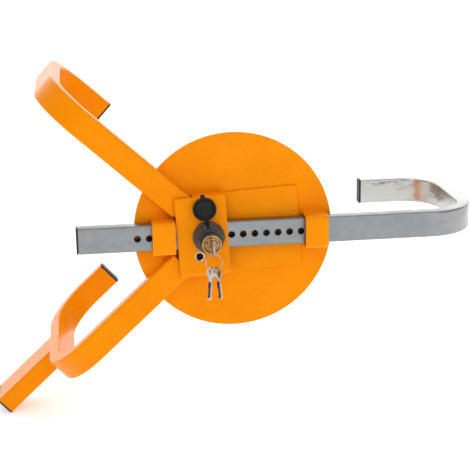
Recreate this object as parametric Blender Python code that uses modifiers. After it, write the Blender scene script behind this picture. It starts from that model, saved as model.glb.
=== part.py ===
"""Wheel clamp: a cover disc with two fixed hooked arms and a hooked bar that slides through it and locks.

Metres, +Z up. The disc stands upright and faces -Y. The origin is the centre of its back face, the face
that lies against the wheel. The clamp is modelled unlocked: the lock barrel is out, its key is in it.
"""

from math import cos, degrees, pi, radians, sin

import bmesh
import bpy
from mathutils import Matrix, Vector

# Driving dimensions --------------------------------------------------------------------------------
GAP = 0.0003                  # between pieces that touch
SLIDE_GAP = 0.0005            # between the bar and the plates it slides between
ROUND = 48                    # segments of a large round piece
SMALL_ROUND = 20              # segments of a small round piece

DISC_RADIUS = 0.120
DISC_THICK = 0.003
SHEET_EDGE = 0.0008            # rounding of the disc's rim and the plate's edges

STOCK_WIDTH = 0.032           # rectangular tube of the bar and the arms
STOCK_DEPTH = 0.016
STOCK_WALL = 0.002
STOCK_CORNER = 0.0022
CAP_LIP = 0.0022              # end caps: the part that is seen
CAP_PLUG = 0.009              # end caps: the part inside the tube
CAP_EDGE = 0.0009             # end caps: rounding of the lip
OVERRUN = 0.004               # how far a cutter runs past what it cuts

PLATE_THICK = 0.0025          # backing plate that the bar slides on
PLATE_RIGHT = 0.0805
PLATE_HALF = 0.050
PLATE_CLEAR = 0.0013          # between the plate and the arms' inner ends
WELD_TURN = radians(3.3)      # the plate and the housing are welded on a little askew

HOUSING_LEFT, HOUSING_RIGHT = -0.0695, -0.009
HOUSING_HALF = 0.049
HOUSING_WALL = 0.003
HOUSING_BEND = 0.004

GUIDE_WALL = 0.003
GUIDE_CLEAR = 0.0012          # between the bar's edges and the guide's legs
GUIDE_RISE = 0.0066           # between the bar's face and the guide's bridge
GUIDE_BEND = 0.0055
GUIDE_LENGTH = 0.0275
GUIDE_CENTRES = {"bar_guide_left": -0.0855, "bar_guide_right": 0.0975}

ARM_ANGLE = radians(42.5)     # arms, from the bar's line
ARM_APEX = -0.025             # where the arms' centre lines meet the bar's
ARM_OUTER = 0.264             # from the apex, along the arm
ARM_CLEAR = 0.0025            # between an arm's inner end and the left guide's legs
ARM_HOOK_DEPTH = 0.240        # over the outsides of the hook
ARM_RETURN = 0.098            # length of the leg behind the tyre
ARM_BEND = 0.060

LEG_WIDTH = 0.024             # ground leg, a tube of its own on the lower arm
LEG_DEPTH = 0.056
LEG_LENGTH = 0.095
LEG_CENTRE_Y = 0.106

BAR_LEFT = -0.186
BAR_OUTER = 0.303
BAR_HOOK_DEPTH = 0.195
BAR_RETURN = 0.110
BAR_BEND = 0.062
HOLE_RADIUS = 0.0041
HOLE_PITCH = 0.014
HOLES_LEFT, HOLES_RIGHT = 6, 8

LOCK_X = -0.0325
PIN_RADIUS = 0.0037
BARREL_RADIUS = 0.012
FLANGE_STEP = 0.0011          # the flange stands out from the barrel
RUNNING = 0.0002              # clearance of turned lock pieces
BARREL_LENGTH = 0.0196
FLANGE_THICK = 0.0038
COLLAR_WALL = 0.0013          # round the flange's bore
COLLAR_TAPER = 0.0026         # from the nose to the neck
COLLAR_BRIM = 0.0018          # from the neck to the widest part
COLLAR_LIP = 0.0025
COLLAR_STEP = 0.006           # height of the collar's widest part
BUSH_RADIUS = 0.006
BUSH_FLANGE = 0.0085
BUSH_FLANGE_THICK = 0.001
SPRING_POCKET = 0.009
SPRING_RADIUS = 0.0054
SPRING_WIRE = 0.0005
SPRING_TURNS = 6
PIN_CLEAR = 0.0006            # between the pin's tip and the bar, unlocked
PIN_SPIGOT = 0.0012           # the pin's end inside the barrel
PIN_CHAMFER = 0.0008
PLUG_RADIUS = 0.006
PLUG_DEPTH = 0.0074
PLUG_PROUD = 0.0004
FACE_RING = 0.0011            # width of the brass ring on the barrel's face
FACE_RING_THICK = 0.0012

KEY_THICK = 0.0018
KEY_BOW = 0.0095
KEY_HOLE = 0.003
KEY_REACH = 0.0145            # from the barrel's face to the bow's centre
KEY_BLADE = 0.0064            # width
KEY_BLADE_IN = 0.0062         # depth of the blade in the plug
KEY_NECK = 0.0035             # half the width of the working key's shank
RING_FORWARD = 0.0025         # from the bow's centre to the ring's plane
RING_HOLE_Z = -0.0048
RING_RADIUS = 0.0095
RING_WIRE = 0.0007
SPARE_BOW = 0.007
SPARE_LENGTH = 0.0395
SPARE_BLADE_LENGTH = 0.020
SPARE_BLADE = 0.0032          # half the width
SPARE_NECK = 0.0022           # half the width
SPARE_BITS = 5
BIT_PITCH = 0.0022
BIT_HALF = 0.0006
SPARE_SPREAD = radians(22.0)  # along the ring, from its lowest point
SPARE_TILT = radians(5.0)
SPARE_TURN = radians(30.0)
RING_HANG = 0.0020            # the ring's wire, below the centre of the working key's hole
SPARE_HANG = 0.0010           # a spare key's hole, below the ring's wire

CAP_RIM = 0.0020              # the weather cap stands out from the barrel
CAP_DEPTH = 0.0045
CAP_WALL = 0.0016
CAP_TILT = radians(8.0)       # the hinge leans a little to the left of the lock
CAP_HINGE_RISE = 0.0036       # from the collar's nose to the cap's hinge
CAP_STRAP = 0.0015            # half the strap's thickness
TAB_HALF = 0.0025
TAB_RISE = 0.0035
HINGE_PIN_RADIUS = 0.0007
BAND_HALF = 0.0022            # half the band's width
BAND_SETBACK = 0.0060         # from the collar's mouth to the band's middle
BAND_THICK = 0.0010
EAR_WIDTH = 0.0020
EAR_INNER = 0.0026

BOLT_X = -0.0434
SLEEVE_CLEAR = 0.0015         # between the sleeve and the bar's lower edge
BOLT_RADIUS = 0.003
BOLT_HEAD_RADIUS = 0.0047
BOLT_HEAD_THICK = 0.003
SLEEVE_RADIUS = 0.0072
SLEEVE_BORE = 0.0054
RECESS_RADIUS = 0.006
NUT_RADIUS = 0.0055           # a press-in nut, flush in the disc

# Derived places ------------------------------------------------------------------------------------
DISC_FRONT = -DISC_THICK
PLATE_BACK = DISC_FRONT - GAP
PLATE_FRONT = PLATE_BACK - PLATE_THICK
BAR_BACK = PLATE_FRONT - SLIDE_GAP
BAR_FRONT = BAR_BACK - STOCK_DEPTH
HOUSING_INNER = BAR_FRONT - SLIDE_GAP
HOUSING_FRONT = HOUSING_INNER - HOUSING_WALL
ARM_BACK = DISC_FRONT - GAP
ARM_FRONT = ARM_BACK - STOCK_DEPTH
GUIDE_INNER = BAR_FRONT - GUIDE_RISE
GUIDE_FRONT = GUIDE_INNER - GUIDE_WALL
GUIDE_HALF = STOCK_WIDTH / 2 + GUIDE_CLEAR + GUIDE_WALL
BARREL_FLANGE = BARREL_RADIUS + FLANGE_STEP
COLLAR_NOSE = BARREL_FLANGE + RUNNING + COLLAR_WALL
COLLAR_NECK = COLLAR_NOSE + COLLAR_TAPER
COLLAR_RADIUS = COLLAR_NECK + COLLAR_BRIM
CAP_RADIUS = BARREL_RADIUS + CAP_RIM
CAP_HINGE_Z = COLLAR_NOSE + CAP_HINGE_RISE    # the open cap's centre is as far again
ARM_INNER = (GUIDE_HALF + ARM_CLEAR + STOCK_WIDTH / 2 * cos(ARM_ANGLE)) / sin(ARM_ANGLE)
ARM_INNER_X = ARM_APEX - ARM_INNER * cos(ARM_ANGLE) + STOCK_WIDTH / 2 * sin(ARM_ANGLE)
PLATE_LEFT = ARM_INNER_X + PLATE_CLEAR + PLATE_HALF * sin(WELD_TURN)
PUSH_TRAVEL = STOCK_DEPTH     # the pin passes both walls of the bar
COLLAR_BASE = HOUSING_FRONT - GAP
BARREL_BACK = HOUSING_FRONT - BUSH_FLANGE_THICK - 2 * GAP - PUSH_TRAVEL
BARREL_FACE = BARREL_BACK - BARREL_LENGTH
COLLAR_FRONT = BARREL_BACK - FLANGE_THICK - 2 * RUNNING - COLLAR_LIP
CAP_HINGE_Y = COLLAR_FRONT + BAND_SETBACK
COLLAR_CONE = CAP_HINGE_Y + BAND_HALF + 0.0010
PIN_TIP = BAR_FRONT - PIN_CLEAR
PIN_SEAT = BARREL_BACK - SPRING_POCKET
KEY_CENTRE_Y = BARREL_FACE - KEY_REACH
RING_Y = KEY_CENTRE_Y - RING_FORWARD
RING_TOP_Z = RING_HOLE_Z - RING_HANG
RING_Z = RING_TOP_Z - RING_RADIUS
BOLT_Z = -(STOCK_WIDTH / 2 + SLEEVE_CLEAR + SLEEVE_RADIUS)

ALONG_X = Vector((1, 0, 0))
BACKWARD = Vector((0, 1, 0))
UPWARD = Vector((0, 0, 1))


# Collections and materials -------------------------------------------------------------------------
def start():
    for obj in list(bpy.data.objects):
        bpy.data.objects.remove(obj, do_unlink=True)
    parts = bpy.data.collections.new("wheel_clamp")
    cutters = bpy.data.collections.new("cutters")
    for collection in (parts, cutters):
        bpy.context.scene.collection.children.link(collection)
    return parts, cutters


PARTS, CUTTERS = start()


def material(name, color, roughness, metallic):
    made = bpy.data.materials.new(name)
    made.use_nodes = True
    shader = made.node_tree.nodes["Principled BSDF"]
    shader.inputs["Base Color"].default_value = (*color, 1.0)
    shader.inputs["Roughness"].default_value = roughness
    shader.inputs["Metallic"].default_value = metallic
    return made


ORANGE = material("orange_coat", (0.87, 0.27, 0.005), 0.30, 0.0)
STEEL = material("galvanised_steel", (0.42, 0.44, 0.46), 0.32, 1.0)
BLACK = material("black_plastic", (0.012, 0.012, 0.013), 0.45, 0.0)
DARK = material("dark_zinc", (0.07, 0.07, 0.075), 0.35, 0.6)
BRASS = material("brass", (0.78, 0.52, 0.22), 0.25, 1.0)
NICKEL = material("nickel", (0.65, 0.63, 0.60), 0.20, 1.0)
RUBBER = material("black_rubber", (0.015, 0.015, 0.017), 0.60, 0.0)


# Modelling helpers ---------------------------------------------------------------------------------
def add(name, mesh, look, collection=None):
    """Put a mesh in the scene as an object with one material."""
    obj = bpy.data.objects.new(name, mesh)
    (collection or PARTS).objects.link(obj)
    if look:
        mesh.materials.clear()
        mesh.materials.append(look)
    return obj


def smooth(obj, angle=30.0):
    obj.data.shade_smooth()
    obj.data.set_sharp_from_angle(angle=radians(angle))
    return obj


def take_transform(obj, matrix):
    """Place an object's mesh in the world, so that its modifiers work at true scale."""
    obj.data.transform(matrix)
    return obj


def outline(name, points, thickness, look, matrix, collection=None):
    """A flat outline in X and Y, given its thickness along Z about its own plane, then placed."""
    curve = bpy.data.curves.new(name, "CURVE")
    curve.dimensions = "2D"
    curve.fill_mode = "BOTH"
    curve.extrude = thickness / 2
    spline = curve.splines.new("POLY")
    spline.points.add(len(points) - 1)
    for point, place in zip(spline.points, points):
        point.co = (place[0], place[1], 0.0, 1.0)
    spline.use_cyclic_u = True
    flat = bpy.data.objects.new(name + "_outline", curve)
    CUTTERS.objects.link(flat)
    mesh = bpy.data.meshes.new_from_object(flat.evaluated_get(bpy.context.evaluated_depsgraph_get()))
    bpy.data.objects.remove(flat, do_unlink=True)
    mesh.transform(matrix)
    weld(mesh)
    return add(name, mesh, look, collection)


def weld(mesh):
    work = bmesh.new()
    work.from_mesh(mesh)
    bmesh.ops.remove_doubles(work, verts=work.verts, dist=0.00001)
    bmesh.ops.recalc_face_normals(work, faces=work.faces)
    work.to_mesh(mesh)
    work.free()


def block(name, low, high, look, collection=None):
    """A box between two corners."""
    low, high = Vector(low), Vector(high)
    work = bmesh.new()
    bmesh.ops.create_cube(work, size=1.0)
    size = high - low
    place = Matrix.Translation((low + high) / 2) @ Matrix.Diagonal((*size, 1.0))
    bmesh.ops.transform(work, matrix=place, verts=work.verts)
    mesh = bpy.data.meshes.new(name)
    work.to_mesh(mesh)
    work.free()
    return add(name, mesh, look, collection)


def rod(name, radius, start_y, end_y, x, z, look, collection=None, segments=SMALL_ROUND):
    """A round bar along Y, between two places on it."""
    work = bmesh.new()
    bmesh.ops.create_cone(
        work, cap_ends=True, segments=segments, radius1=radius, radius2=radius, depth=abs(end_y - start_y)
    )
    place = Matrix.Translation((x, (start_y + end_y) / 2, z)) @ Matrix.Rotation(pi / 2, 4, "X")
    bmesh.ops.transform(work, matrix=place, verts=work.verts)
    mesh = bpy.data.meshes.new(name)
    work.to_mesh(mesh)
    work.free()
    return smooth(add(name, mesh, look, collection))


def turned(name, profile, x, z, look, closed=False, segments=32):
    """A turned piece on an axis along Y: profile holds (radius, y), from the front round the outside."""
    mesh = bpy.data.meshes.new(name)
    points = [(radius, 0.0, -y) for radius, y in profile]
    edges = [(n, n + 1) for n in range(len(points) - 1)]
    if closed:
        edges.append((len(points) - 1, 0))
    mesh.from_pydata(points, edges, [])
    obj = add(name, mesh, look)
    screw = obj.modifiers.new("turn", "SCREW")
    screw.steps = segments
    screw.render_steps = segments
    screw.use_merge_vertices = True
    screw.merge_threshold = 0.00001
    obj.rotation_euler = (pi / 2, 0.0, 0.0)
    obj.location = (x, 0.0, z)
    return obj


def bevel(obj, width, segments=2, angle=40.0):
    made = obj.modifiers.new("rounded edges", "BEVEL")
    made.width = width
    made.segments = segments
    made.limit_method = "ANGLE"
    made.angle_limit = radians(angle)
    made.use_clamp_overlap = True
    return obj


def boolean(obj, other, operation="DIFFERENCE"):
    """Cut or join another object; the other one stays as a wire guide."""
    made = obj.modifiers.new(operation.lower(), "BOOLEAN")
    made.operation = operation
    made.object = other
    made.solver = "EXACT"
    other.hide_render = True
    other.display_type = "WIRE"
    return obj


def cut_round(obj, radius, start_y, end_y, x, z, segments=SMALL_ROUND):
    return boolean(obj, rod(obj.name + "_bore", radius, start_y, end_y, x, z, None, CUTTERS, segments))


def arc(centre, radius, first, last, steps=8):
    """Points on an arc in a plane, angles in degrees."""
    turns = [radians(first + (last - first) * n / steps) for n in range(steps + 1)]
    return [(centre[0] + radius * cos(turn), centre[1] + radius * sin(turn)) for turn in turns]


# Hooked tubes --------------------------------------------------------------------------------------
def hook_points(inner, outer, depth, leg, bend, inset, overrun=0.0):
    """Outline of a hook: X runs along the arm, Y runs back, 0 at the arm's face. inset thins it evenly."""
    wide, tight = bend - inset, bend - STOCK_DEPTH + inset
    near, far = (outer - bend, bend), (outer - bend, depth - bend)
    end = outer - leg - overrun
    start = inner - overrun
    around = [(start, inset)] + arc(near, wide, -90, 0) + arc(far, wide, 0, 90) + [(end, depth - inset)]
    inside = [(end, depth - STOCK_DEPTH + inset)] + arc(far, tight, 90, 0) + arc(near, tight, 0, -90)
    return around + inside + [(start, STOCK_DEPTH - inset)]


def hooked_tube(name, along, side, start, inner, outer, depth, leg, bend, look):
    """A rectangular tube with two bends, open at both ends."""
    place = Matrix.Translation(start) @ Matrix((along, BACKWARD, side)).transposed().to_4x4()
    tube = outline(name, hook_points(inner, outer, depth, leg, bend, 0.0), STOCK_WIDTH, look, place)
    bevel(tube, STOCK_CORNER, 2, 50.0)
    hollow_points = hook_points(inner, outer, depth, leg, bend, STOCK_WALL, OVERRUN)
    hollow = outline(name + "_hollow", hollow_points, STOCK_WIDTH - 2 * STOCK_WALL, None, place, CUTTERS)
    return smooth(boolean(tube, hollow), 40.0)


def end_cap(name, width, depth, wall, matrix, look):
    """A push-in cap: a lip over the tube's end, and a plug inside it. Local +X points out of the tube."""
    cap = block(name, (GAP, -depth / 2, -width / 2), (GAP + CAP_LIP, depth / 2, width / 2), look)
    bevel(cap, CAP_EDGE, 2, 60.0)
    reach, across = depth / 2 - wall - GAP, width / 2 - wall - GAP
    plug = block(name + "_plug", (-CAP_PLUG, -reach, -across), (GAP + CAP_LIP / 2, reach, across), None, CUTTERS)
    boolean(cap, plug, "UNION")
    take_transform(cap, matrix)
    take_transform(plug, matrix)
    return cap


def tube_end(along, side, place):
    """Matrix of a tube's end: X out of the tube, Y back, Z across."""
    return Matrix.Translation(place) @ Matrix((along, along.cross(side) * -1, side)).transposed().to_4x4()


def arm(name, side_sign):
    """One fixed arm, from under the housing out to its hook behind the tyre, with its cap."""
    along = Vector((-cos(ARM_ANGLE), 0.0, side_sign * sin(ARM_ANGLE)))
    side = Vector((along.z * -1, 0.0, along.x))
    apex = Vector((ARM_APEX, ARM_FRONT, 0.0))
    hooked_tube(
        name, along, side, apex, ARM_INNER, ARM_OUTER, ARM_HOOK_DEPTH, ARM_RETURN, ARM_BEND, ORANGE
    )
    tip = apex + along * (ARM_OUTER - ARM_RETURN) + BACKWARD * (ARM_HOOK_DEPTH - STOCK_DEPTH / 2)
    end_cap(name + "_cap", STOCK_WIDTH, STOCK_DEPTH, STOCK_WALL, tube_end(-along, side, tip), BLACK)
    return along, side


def ground_leg(along, side):
    """The plain tube that runs on outward from the lower arm's hook."""
    start = Vector((ARM_APEX, LEG_CENTRE_Y, 0.0)) + along * (ARM_OUTER + GAP)
    place = tube_end(along, side, start)
    leg = block("ground_leg", (0, -LEG_DEPTH / 2, -LEG_WIDTH / 2), (LEG_LENGTH, LEG_DEPTH / 2, LEG_WIDTH / 2), ORANGE)
    bevel(leg, STOCK_CORNER, 2, 60.0)
    deep, wide = LEG_DEPTH / 2 - STOCK_WALL, LEG_WIDTH / 2 - STOCK_WALL
    low, high = (-OVERRUN, -deep, -wide), (LEG_LENGTH + OVERRUN, deep, wide)
    hollow = block("ground_leg_hollow", low, high, None, CUTTERS)
    boolean(leg, hollow)
    for piece in (leg, hollow):
        take_transform(piece, place)
    end = tube_end(along, side, start + along * LEG_LENGTH)
    end_cap("ground_leg_cap", LEG_WIDTH, LEG_DEPTH, STOCK_WALL, end, BLACK)


def sliding_bar():
    """The pierced bar with its hook, and the two caps in its ends."""
    start = Vector((0.0, BAR_FRONT, 0.0))
    bar = hooked_tube(
        "sliding_bar", ALONG_X, UPWARD, start, BAR_LEFT, BAR_OUTER, BAR_HOOK_DEPTH, BAR_RETURN, BAR_BEND, STEEL
    )
    drill = None
    for number in range(-HOLES_LEFT, HOLES_RIGHT + 1):
        place = LOCK_X + number * HOLE_PITCH
        hole = rod("bar_hole", HOLE_RADIUS, BAR_FRONT - OVERRUN, BAR_BACK + OVERRUN, place, 0.0, None, CUTTERS, 16)
        drill = hole if drill is None else join(drill, hole)
    boolean(bar, drill)
    middle = start + BACKWARD * (STOCK_DEPTH / 2)
    left = tube_end(-ALONG_X, UPWARD, middle + ALONG_X * BAR_LEFT)
    end_cap("bar_inner_cap", STOCK_WIDTH, STOCK_DEPTH, STOCK_WALL, left, BLACK)
    behind = BACKWARD * (BAR_HOOK_DEPTH - STOCK_DEPTH)
    hook = tube_end(-ALONG_X, UPWARD, middle + behind + ALONG_X * (BAR_OUTER - BAR_RETURN))
    end_cap("bar_hook_cap", STOCK_WIDTH, STOCK_DEPTH, STOCK_WALL, hook, BLACK)


def join(first, second):
    """Add a second mesh, which stays clear of it, to the first."""
    work = bmesh.new()
    work.from_mesh(first.data)
    work.from_mesh(second.data)
    work.to_mesh(first.data)
    work.free()
    bpy.data.objects.remove(second, do_unlink=True)
    return first


# Disc, plate, housing and guides -------------------------------------------------------------------
def cover_disc():
    disc = rod("cover_disc", DISC_RADIUS, DISC_FRONT, 0.0, 0.0, 0.0, ORANGE, None, 2 * ROUND)
    bevel(disc, SHEET_EDGE, 2, 60.0)
    cut_round(disc, NUT_RADIUS + GAP, DISC_FRONT - OVERRUN, OVERRUN, BOLT_X, BOLT_Z)


def askew(x):
    """The small turn of what is welded askew, about an axis along Y at x."""
    return Matrix.Translation((x, 0, 0)) @ Matrix.Rotation(-WELD_TURN, 4, "Y") @ Matrix.Translation((-x, 0, 0))


def backing_plate():
    low = (PLATE_LEFT, PLATE_FRONT, -PLATE_HALF)
    plate = block("backing_plate", low, (PLATE_RIGHT, PLATE_BACK, PLATE_HALF), ORANGE)
    take_transform(plate, askew((PLATE_LEFT + PLATE_RIGHT) / 2))
    bevel(plate, SHEET_EDGE, 1, 60.0)
    cut_round(plate, BOLT_RADIUS + GAP, PLATE_FRONT - OVERRUN, PLATE_BACK + OVERRUN, BOLT_X, BOLT_Z)


def channel(half, wall, front, foot, bend):
    """Outline of a bent channel: X is the row's Z, Y is its depth. Its bridge is in front, its legs run back."""
    wide = arc((half - bend, front + bend), bend, 0, -90, 4)
    outer = [(half, foot)] + wide + [(-x, y) for x, y in reversed(wide)] + [(-half, foot)]
    tight = arc((half - bend, front + bend), bend - wall, -90, 0, 4)
    inner = [(wall - half, foot)] + [(-x, y) for x, y in reversed(tight)] + tight + [(half - wall, foot)]
    return outer + inner


def channel_piece(name, left, right, points):
    """A channel outline, given its length along X."""
    place = Matrix(((0, 0, 1, (left + right) / 2), (0, 1, 0, 0), (1, 0, 0, 0), (0, 0, 0, 1)))
    return smooth(outline(name, points, right - left, ORANGE, place), 40.0)


def bar_guide(name, centre):
    """A bent strap over the bar, with its feet on the disc."""
    points = channel(GUIDE_HALF, GUIDE_WALL, GUIDE_FRONT, DISC_FRONT - GAP, GUIDE_BEND)
    channel_piece(name, centre - GUIDE_LENGTH / 2, centre + GUIDE_LENGTH / 2, points)


def lock_housing():
    """The channel that carries the lock. Its walls stop where the arms pass under its front."""
    points = channel(HOUSING_HALF, HOUSING_WALL, HOUSING_FRONT, PLATE_FRONT - GAP, HOUSING_BEND)
    housing = channel_piece("lock_housing", HOUSING_LEFT, HOUSING_RIGHT, points)
    beyond = HOUSING_HALF + 0.01
    low = (HOUSING_LEFT - 0.01, HOUSING_INNER, -beyond)
    arm_way = block("arm_way", low, (PLATE_LEFT, 0.0, beyond), None, CUTTERS)
    for piece in (housing, arm_way):
        take_transform(piece, askew(LOCK_X))
    boolean(housing, arm_way)
    cut_round(housing, BUSH_RADIUS + GAP, HOUSING_FRONT - 0.01, HOUSING_INNER + 0.002, LOCK_X, 0.0)
    cut_round(housing, RECESS_RADIUS, HOUSING_FRONT - 0.01, HOUSING_INNER + 0.002, BOLT_X, BOLT_Z)


def bolt_sleeve():
    """The bright sleeve between the housing's recess and the backing plate."""
    top, foot = HOUSING_INNER + GAP, PLATE_FRONT - GAP
    wall = [(SLEEVE_BORE, top), (SLEEVE_RADIUS, top), (SLEEVE_RADIUS, foot), (SLEEVE_BORE, foot)]
    turned("bolt_sleeve", wall, BOLT_X, BOLT_Z, NICKEL, True, 24)


# Lock ----------------------------------------------------------------------------------------------
def lock_collar():
    """The stepped boss on the housing; its nose is cylindrical, for the weather cap's band."""
    bore, mouth = BARREL_FLANGE + RUNNING, BARREL_RADIUS + RUNNING
    step = COLLAR_BASE - COLLAR_STEP
    lip = COLLAR_FRONT + COLLAR_LIP
    profile = [
        (mouth, COLLAR_FRONT), (COLLAR_NOSE - 0.0008, COLLAR_FRONT), (COLLAR_NOSE, COLLAR_FRONT + 0.0008),
        (COLLAR_NOSE, COLLAR_CONE), (COLLAR_NECK, step), (COLLAR_RADIUS - 0.001, step),
        (COLLAR_RADIUS, step + 0.001), (COLLAR_RADIUS, COLLAR_BASE), (bore, COLLAR_BASE), (bore, lip), (mouth, lip),
    ]
    turned("lock_collar", profile, LOCK_X, 0.0, DARK, True, ROUND)


def pin_bush():
    bore = PIN_RADIUS + RUNNING
    flange = HOUSING_FRONT - GAP - BUSH_FLANGE_THICK
    profile = [
        (bore, flange), (BUSH_FLANGE, flange), (BUSH_FLANGE, HOUSING_FRONT - GAP),
        (BUSH_RADIUS, HOUSING_FRONT - GAP), (BUSH_RADIUS, HOUSING_INNER), (bore, HOUSING_INNER),
    ]
    turned("pin_bush", profile, LOCK_X, 0.0, BRASS, True, 24)


def lock_barrel():
    """The sleeve that is pushed in: a flange holds it in the collar, a pocket behind takes the spring."""
    flange, pocket = BARREL_BACK - FLANGE_THICK, BARREL_BACK - SPRING_POCKET
    hole, seat = PLUG_RADIUS + RUNNING, BARREL_FACE + PLUG_DEPTH + RUNNING
    ring = BARREL_RADIUS - FACE_RING
    profile = [
        (0.0, seat), (hole, seat), (hole, BARREL_FACE), (ring, BARREL_FACE), (ring, BARREL_FACE + FACE_RING_THICK),
        (BARREL_RADIUS, BARREL_FACE + FACE_RING_THICK), (BARREL_RADIUS, flange), (BARREL_FLANGE, flange),
        (BARREL_FLANGE, BARREL_BACK), (SPRING_RADIUS + 2 * SPRING_WIRE, BARREL_BACK),
        (SPRING_RADIUS + 2 * SPRING_WIRE, pocket), (PIN_RADIUS, pocket), (PIN_RADIUS, PIN_SEAT - PIN_SPIGOT),
        (0.0, PIN_SEAT - PIN_SPIGOT),
    ]
    turned("lock_barrel", profile, LOCK_X, 0.0, BRASS, False, 32)


def face_ring():
    ring, back = BARREL_RADIUS - FACE_RING + GAP, BARREL_FACE + FACE_RING_THICK - GAP
    profile = [(ring, BARREL_FACE - GAP), (BARREL_RADIUS, BARREL_FACE - GAP), (BARREL_RADIUS, back), (ring, back)]
    turned("barrel_face_ring", profile, LOCK_X, 0.0, BRASS, True, 32)


def locking_pin():
    front = PIN_SEAT - PIN_SPIGOT + GAP
    profile = [
        (0.0, front), (PIN_RADIUS - GAP, front), (PIN_RADIUS - GAP, PIN_SEAT), (PIN_RADIUS, PIN_SEAT + GAP),
        (PIN_RADIUS, PIN_TIP - PIN_CHAMFER), (PIN_RADIUS - PIN_CHAMFER, PIN_TIP), (0.0, PIN_TIP),
    ]
    turned("locking_pin", profile, LOCK_X, 0.0, STEEL, False, 20)


def coil(name, radius, wire, turns, start_y, end_y, look):
    """A compression spring on the lock's axis."""
    curve = bpy.data.curves.new(name, "CURVE")
    curve.dimensions = "3D"
    curve.bevel_depth = wire
    curve.bevel_resolution = 1
    curve.use_fill_caps = True
    spline = curve.splines.new("POLY")
    steps = turns * 12
    spline.points.add(steps)
    for number, point in enumerate(spline.points):
        share = number / steps
        turn = 2 * pi * turns * share
        point.co = (LOCK_X + radius * cos(turn), start_y + (end_y - start_y) * share, radius * sin(turn), 1.0)
    obj = bpy.data.objects.new(name, curve)
    PARTS.objects.link(obj)
    curve.materials.append(look)
    return obj


def lock_plug():
    plug = rod("lock_plug", PLUG_RADIUS, BARREL_FACE - PLUG_PROUD, BARREL_FACE + PLUG_DEPTH, LOCK_X, 0.0, NICKEL)
    half, wide = KEY_THICK / 2 + GAP, KEY_BLADE / 2 + GAP
    low = (LOCK_X - half, BARREL_FACE - OVERRUN, -wide)
    high = (LOCK_X + half, BARREL_FACE + KEY_BLADE_IN + GAP, wide)
    boolean(plug, block("key_way", low, high, None, CUTTERS))


# Keys, ring and weather cap ------------------------------------------------------------------------
def key_points(bow, neck, shank_end, blade_end, blade, bits=0):
    """Outline of a key: bow at the origin, blade along +X. bits cuts a row of notches in one edge."""
    turn = degrees(0.45)      # half the angle that the shank takes of the bow
    points = arc((0.0, 0.0), bow, turn, 360.0 - turn, 18)
    top = [(shank_end, -neck), (shank_end, -blade), (blade_end - blade * 0.7, -blade), (blade_end, 0.0)]
    edge = [(blade_end - blade * 0.7, blade)]
    for number in range(bits):
        place = blade_end - blade - BIT_PITCH * (number + 0.5)
        edge += [(place, blade), (place - BIT_HALF, blade * 0.35), (place - 2 * BIT_HALF, blade)]
    return points + top + edge + [(shank_end, blade), (shank_end, neck)]


def pierced_key(name, points, hole, matrix, thick):
    key = outline(name, points, thick, NICKEL, matrix)
    work = bmesh.new()
    bmesh.ops.create_cone(
        work, cap_ends=True, segments=SMALL_ROUND, radius1=KEY_HOLE, radius2=KEY_HOLE, depth=4 * thick
    )
    place = matrix @ Matrix.Translation((*hole, 0.0))
    bmesh.ops.transform(work, matrix=place, verts=work.verts)
    mesh = bpy.data.meshes.new(name + "_hole")
    work.to_mesh(mesh)
    work.free()
    boolean(key, add(name + "_hole", mesh, None, CUTTERS))
    return key


def key_in_lock():
    """The working key: its blade is in the plug and its bow stands upright in front."""
    reach = KEY_REACH + KEY_BLADE_IN
    points = key_points(KEY_BOW, KEY_NECK, KEY_REACH - 0.0015, reach, KEY_BLADE / 2)
    place = Matrix(((0, 0, 1, LOCK_X), (1, 0, 0, KEY_CENTRE_Y), (0, 1, 0, 0), (0, 0, 0, 1)))
    pierced_key("key_in_lock", points, (RING_Y - KEY_CENTRE_Y, RING_HOLE_Z), place, KEY_THICK)


def key_ring():
    bpy.ops.mesh.primitive_torus_add(
        major_segments=40, minor_segments=8, major_radius=RING_RADIUS, minor_radius=RING_WIRE
    )
    ring = bpy.context.object
    ring.name = "key_ring"
    ring.data.name = "key_ring"
    for collection in list(ring.users_collection):
        collection.objects.unlink(ring)
    PARTS.objects.link(ring)
    ring.data.materials.append(NICKEL)
    ring.rotation_euler = (pi / 2, 0.0, 0.0)
    ring.location = (LOCK_X, RING_Y, RING_Z)


def spare_key(name, sign):
    """A key that hangs from the ring, a little to one side of its lowest point."""
    aside, down_by = RING_RADIUS * sin(SPARE_SPREAD), RING_RADIUS * cos(SPARE_SPREAD)
    wire = Vector((LOCK_X + sign * aside, RING_Y, RING_Z - down_by))
    turn = Matrix.Rotation(-sign * SPARE_TILT, 4, "Y") @ Matrix.Rotation(SPARE_TURN, 4, "Z")
    down = Matrix(((0, 0, 1, 0), (0, 1, 0, 0), (-1, 0, 0, 0), (0, 0, 0, 1)))
    hole = SPARE_BOW - KEY_HOLE - 0.0016
    place = Matrix.Translation(wire) @ turn @ down @ Matrix.Translation((hole + SPARE_HANG, 0.0, 0.0))
    tip = SPARE_LENGTH - SPARE_BOW
    points = key_points(SPARE_BOW, SPARE_NECK, tip - SPARE_BLADE_LENGTH, tip, SPARE_BLADE, SPARE_BITS)
    pierced_key(name, points, (-hole, 0.0), place, KEY_THICK)


def cap_frame():
    """The weather cap's own frame: X along its hinge, Y back, Z up the open cap; origin on the hinge."""
    lean = Matrix.Translation((LOCK_X, CAP_HINGE_Y, 0.0)) @ Matrix.Rotation(-CAP_TILT, 4, "Y")
    return lean @ Matrix.Translation((0, 0, CAP_HINGE_Z))


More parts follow.
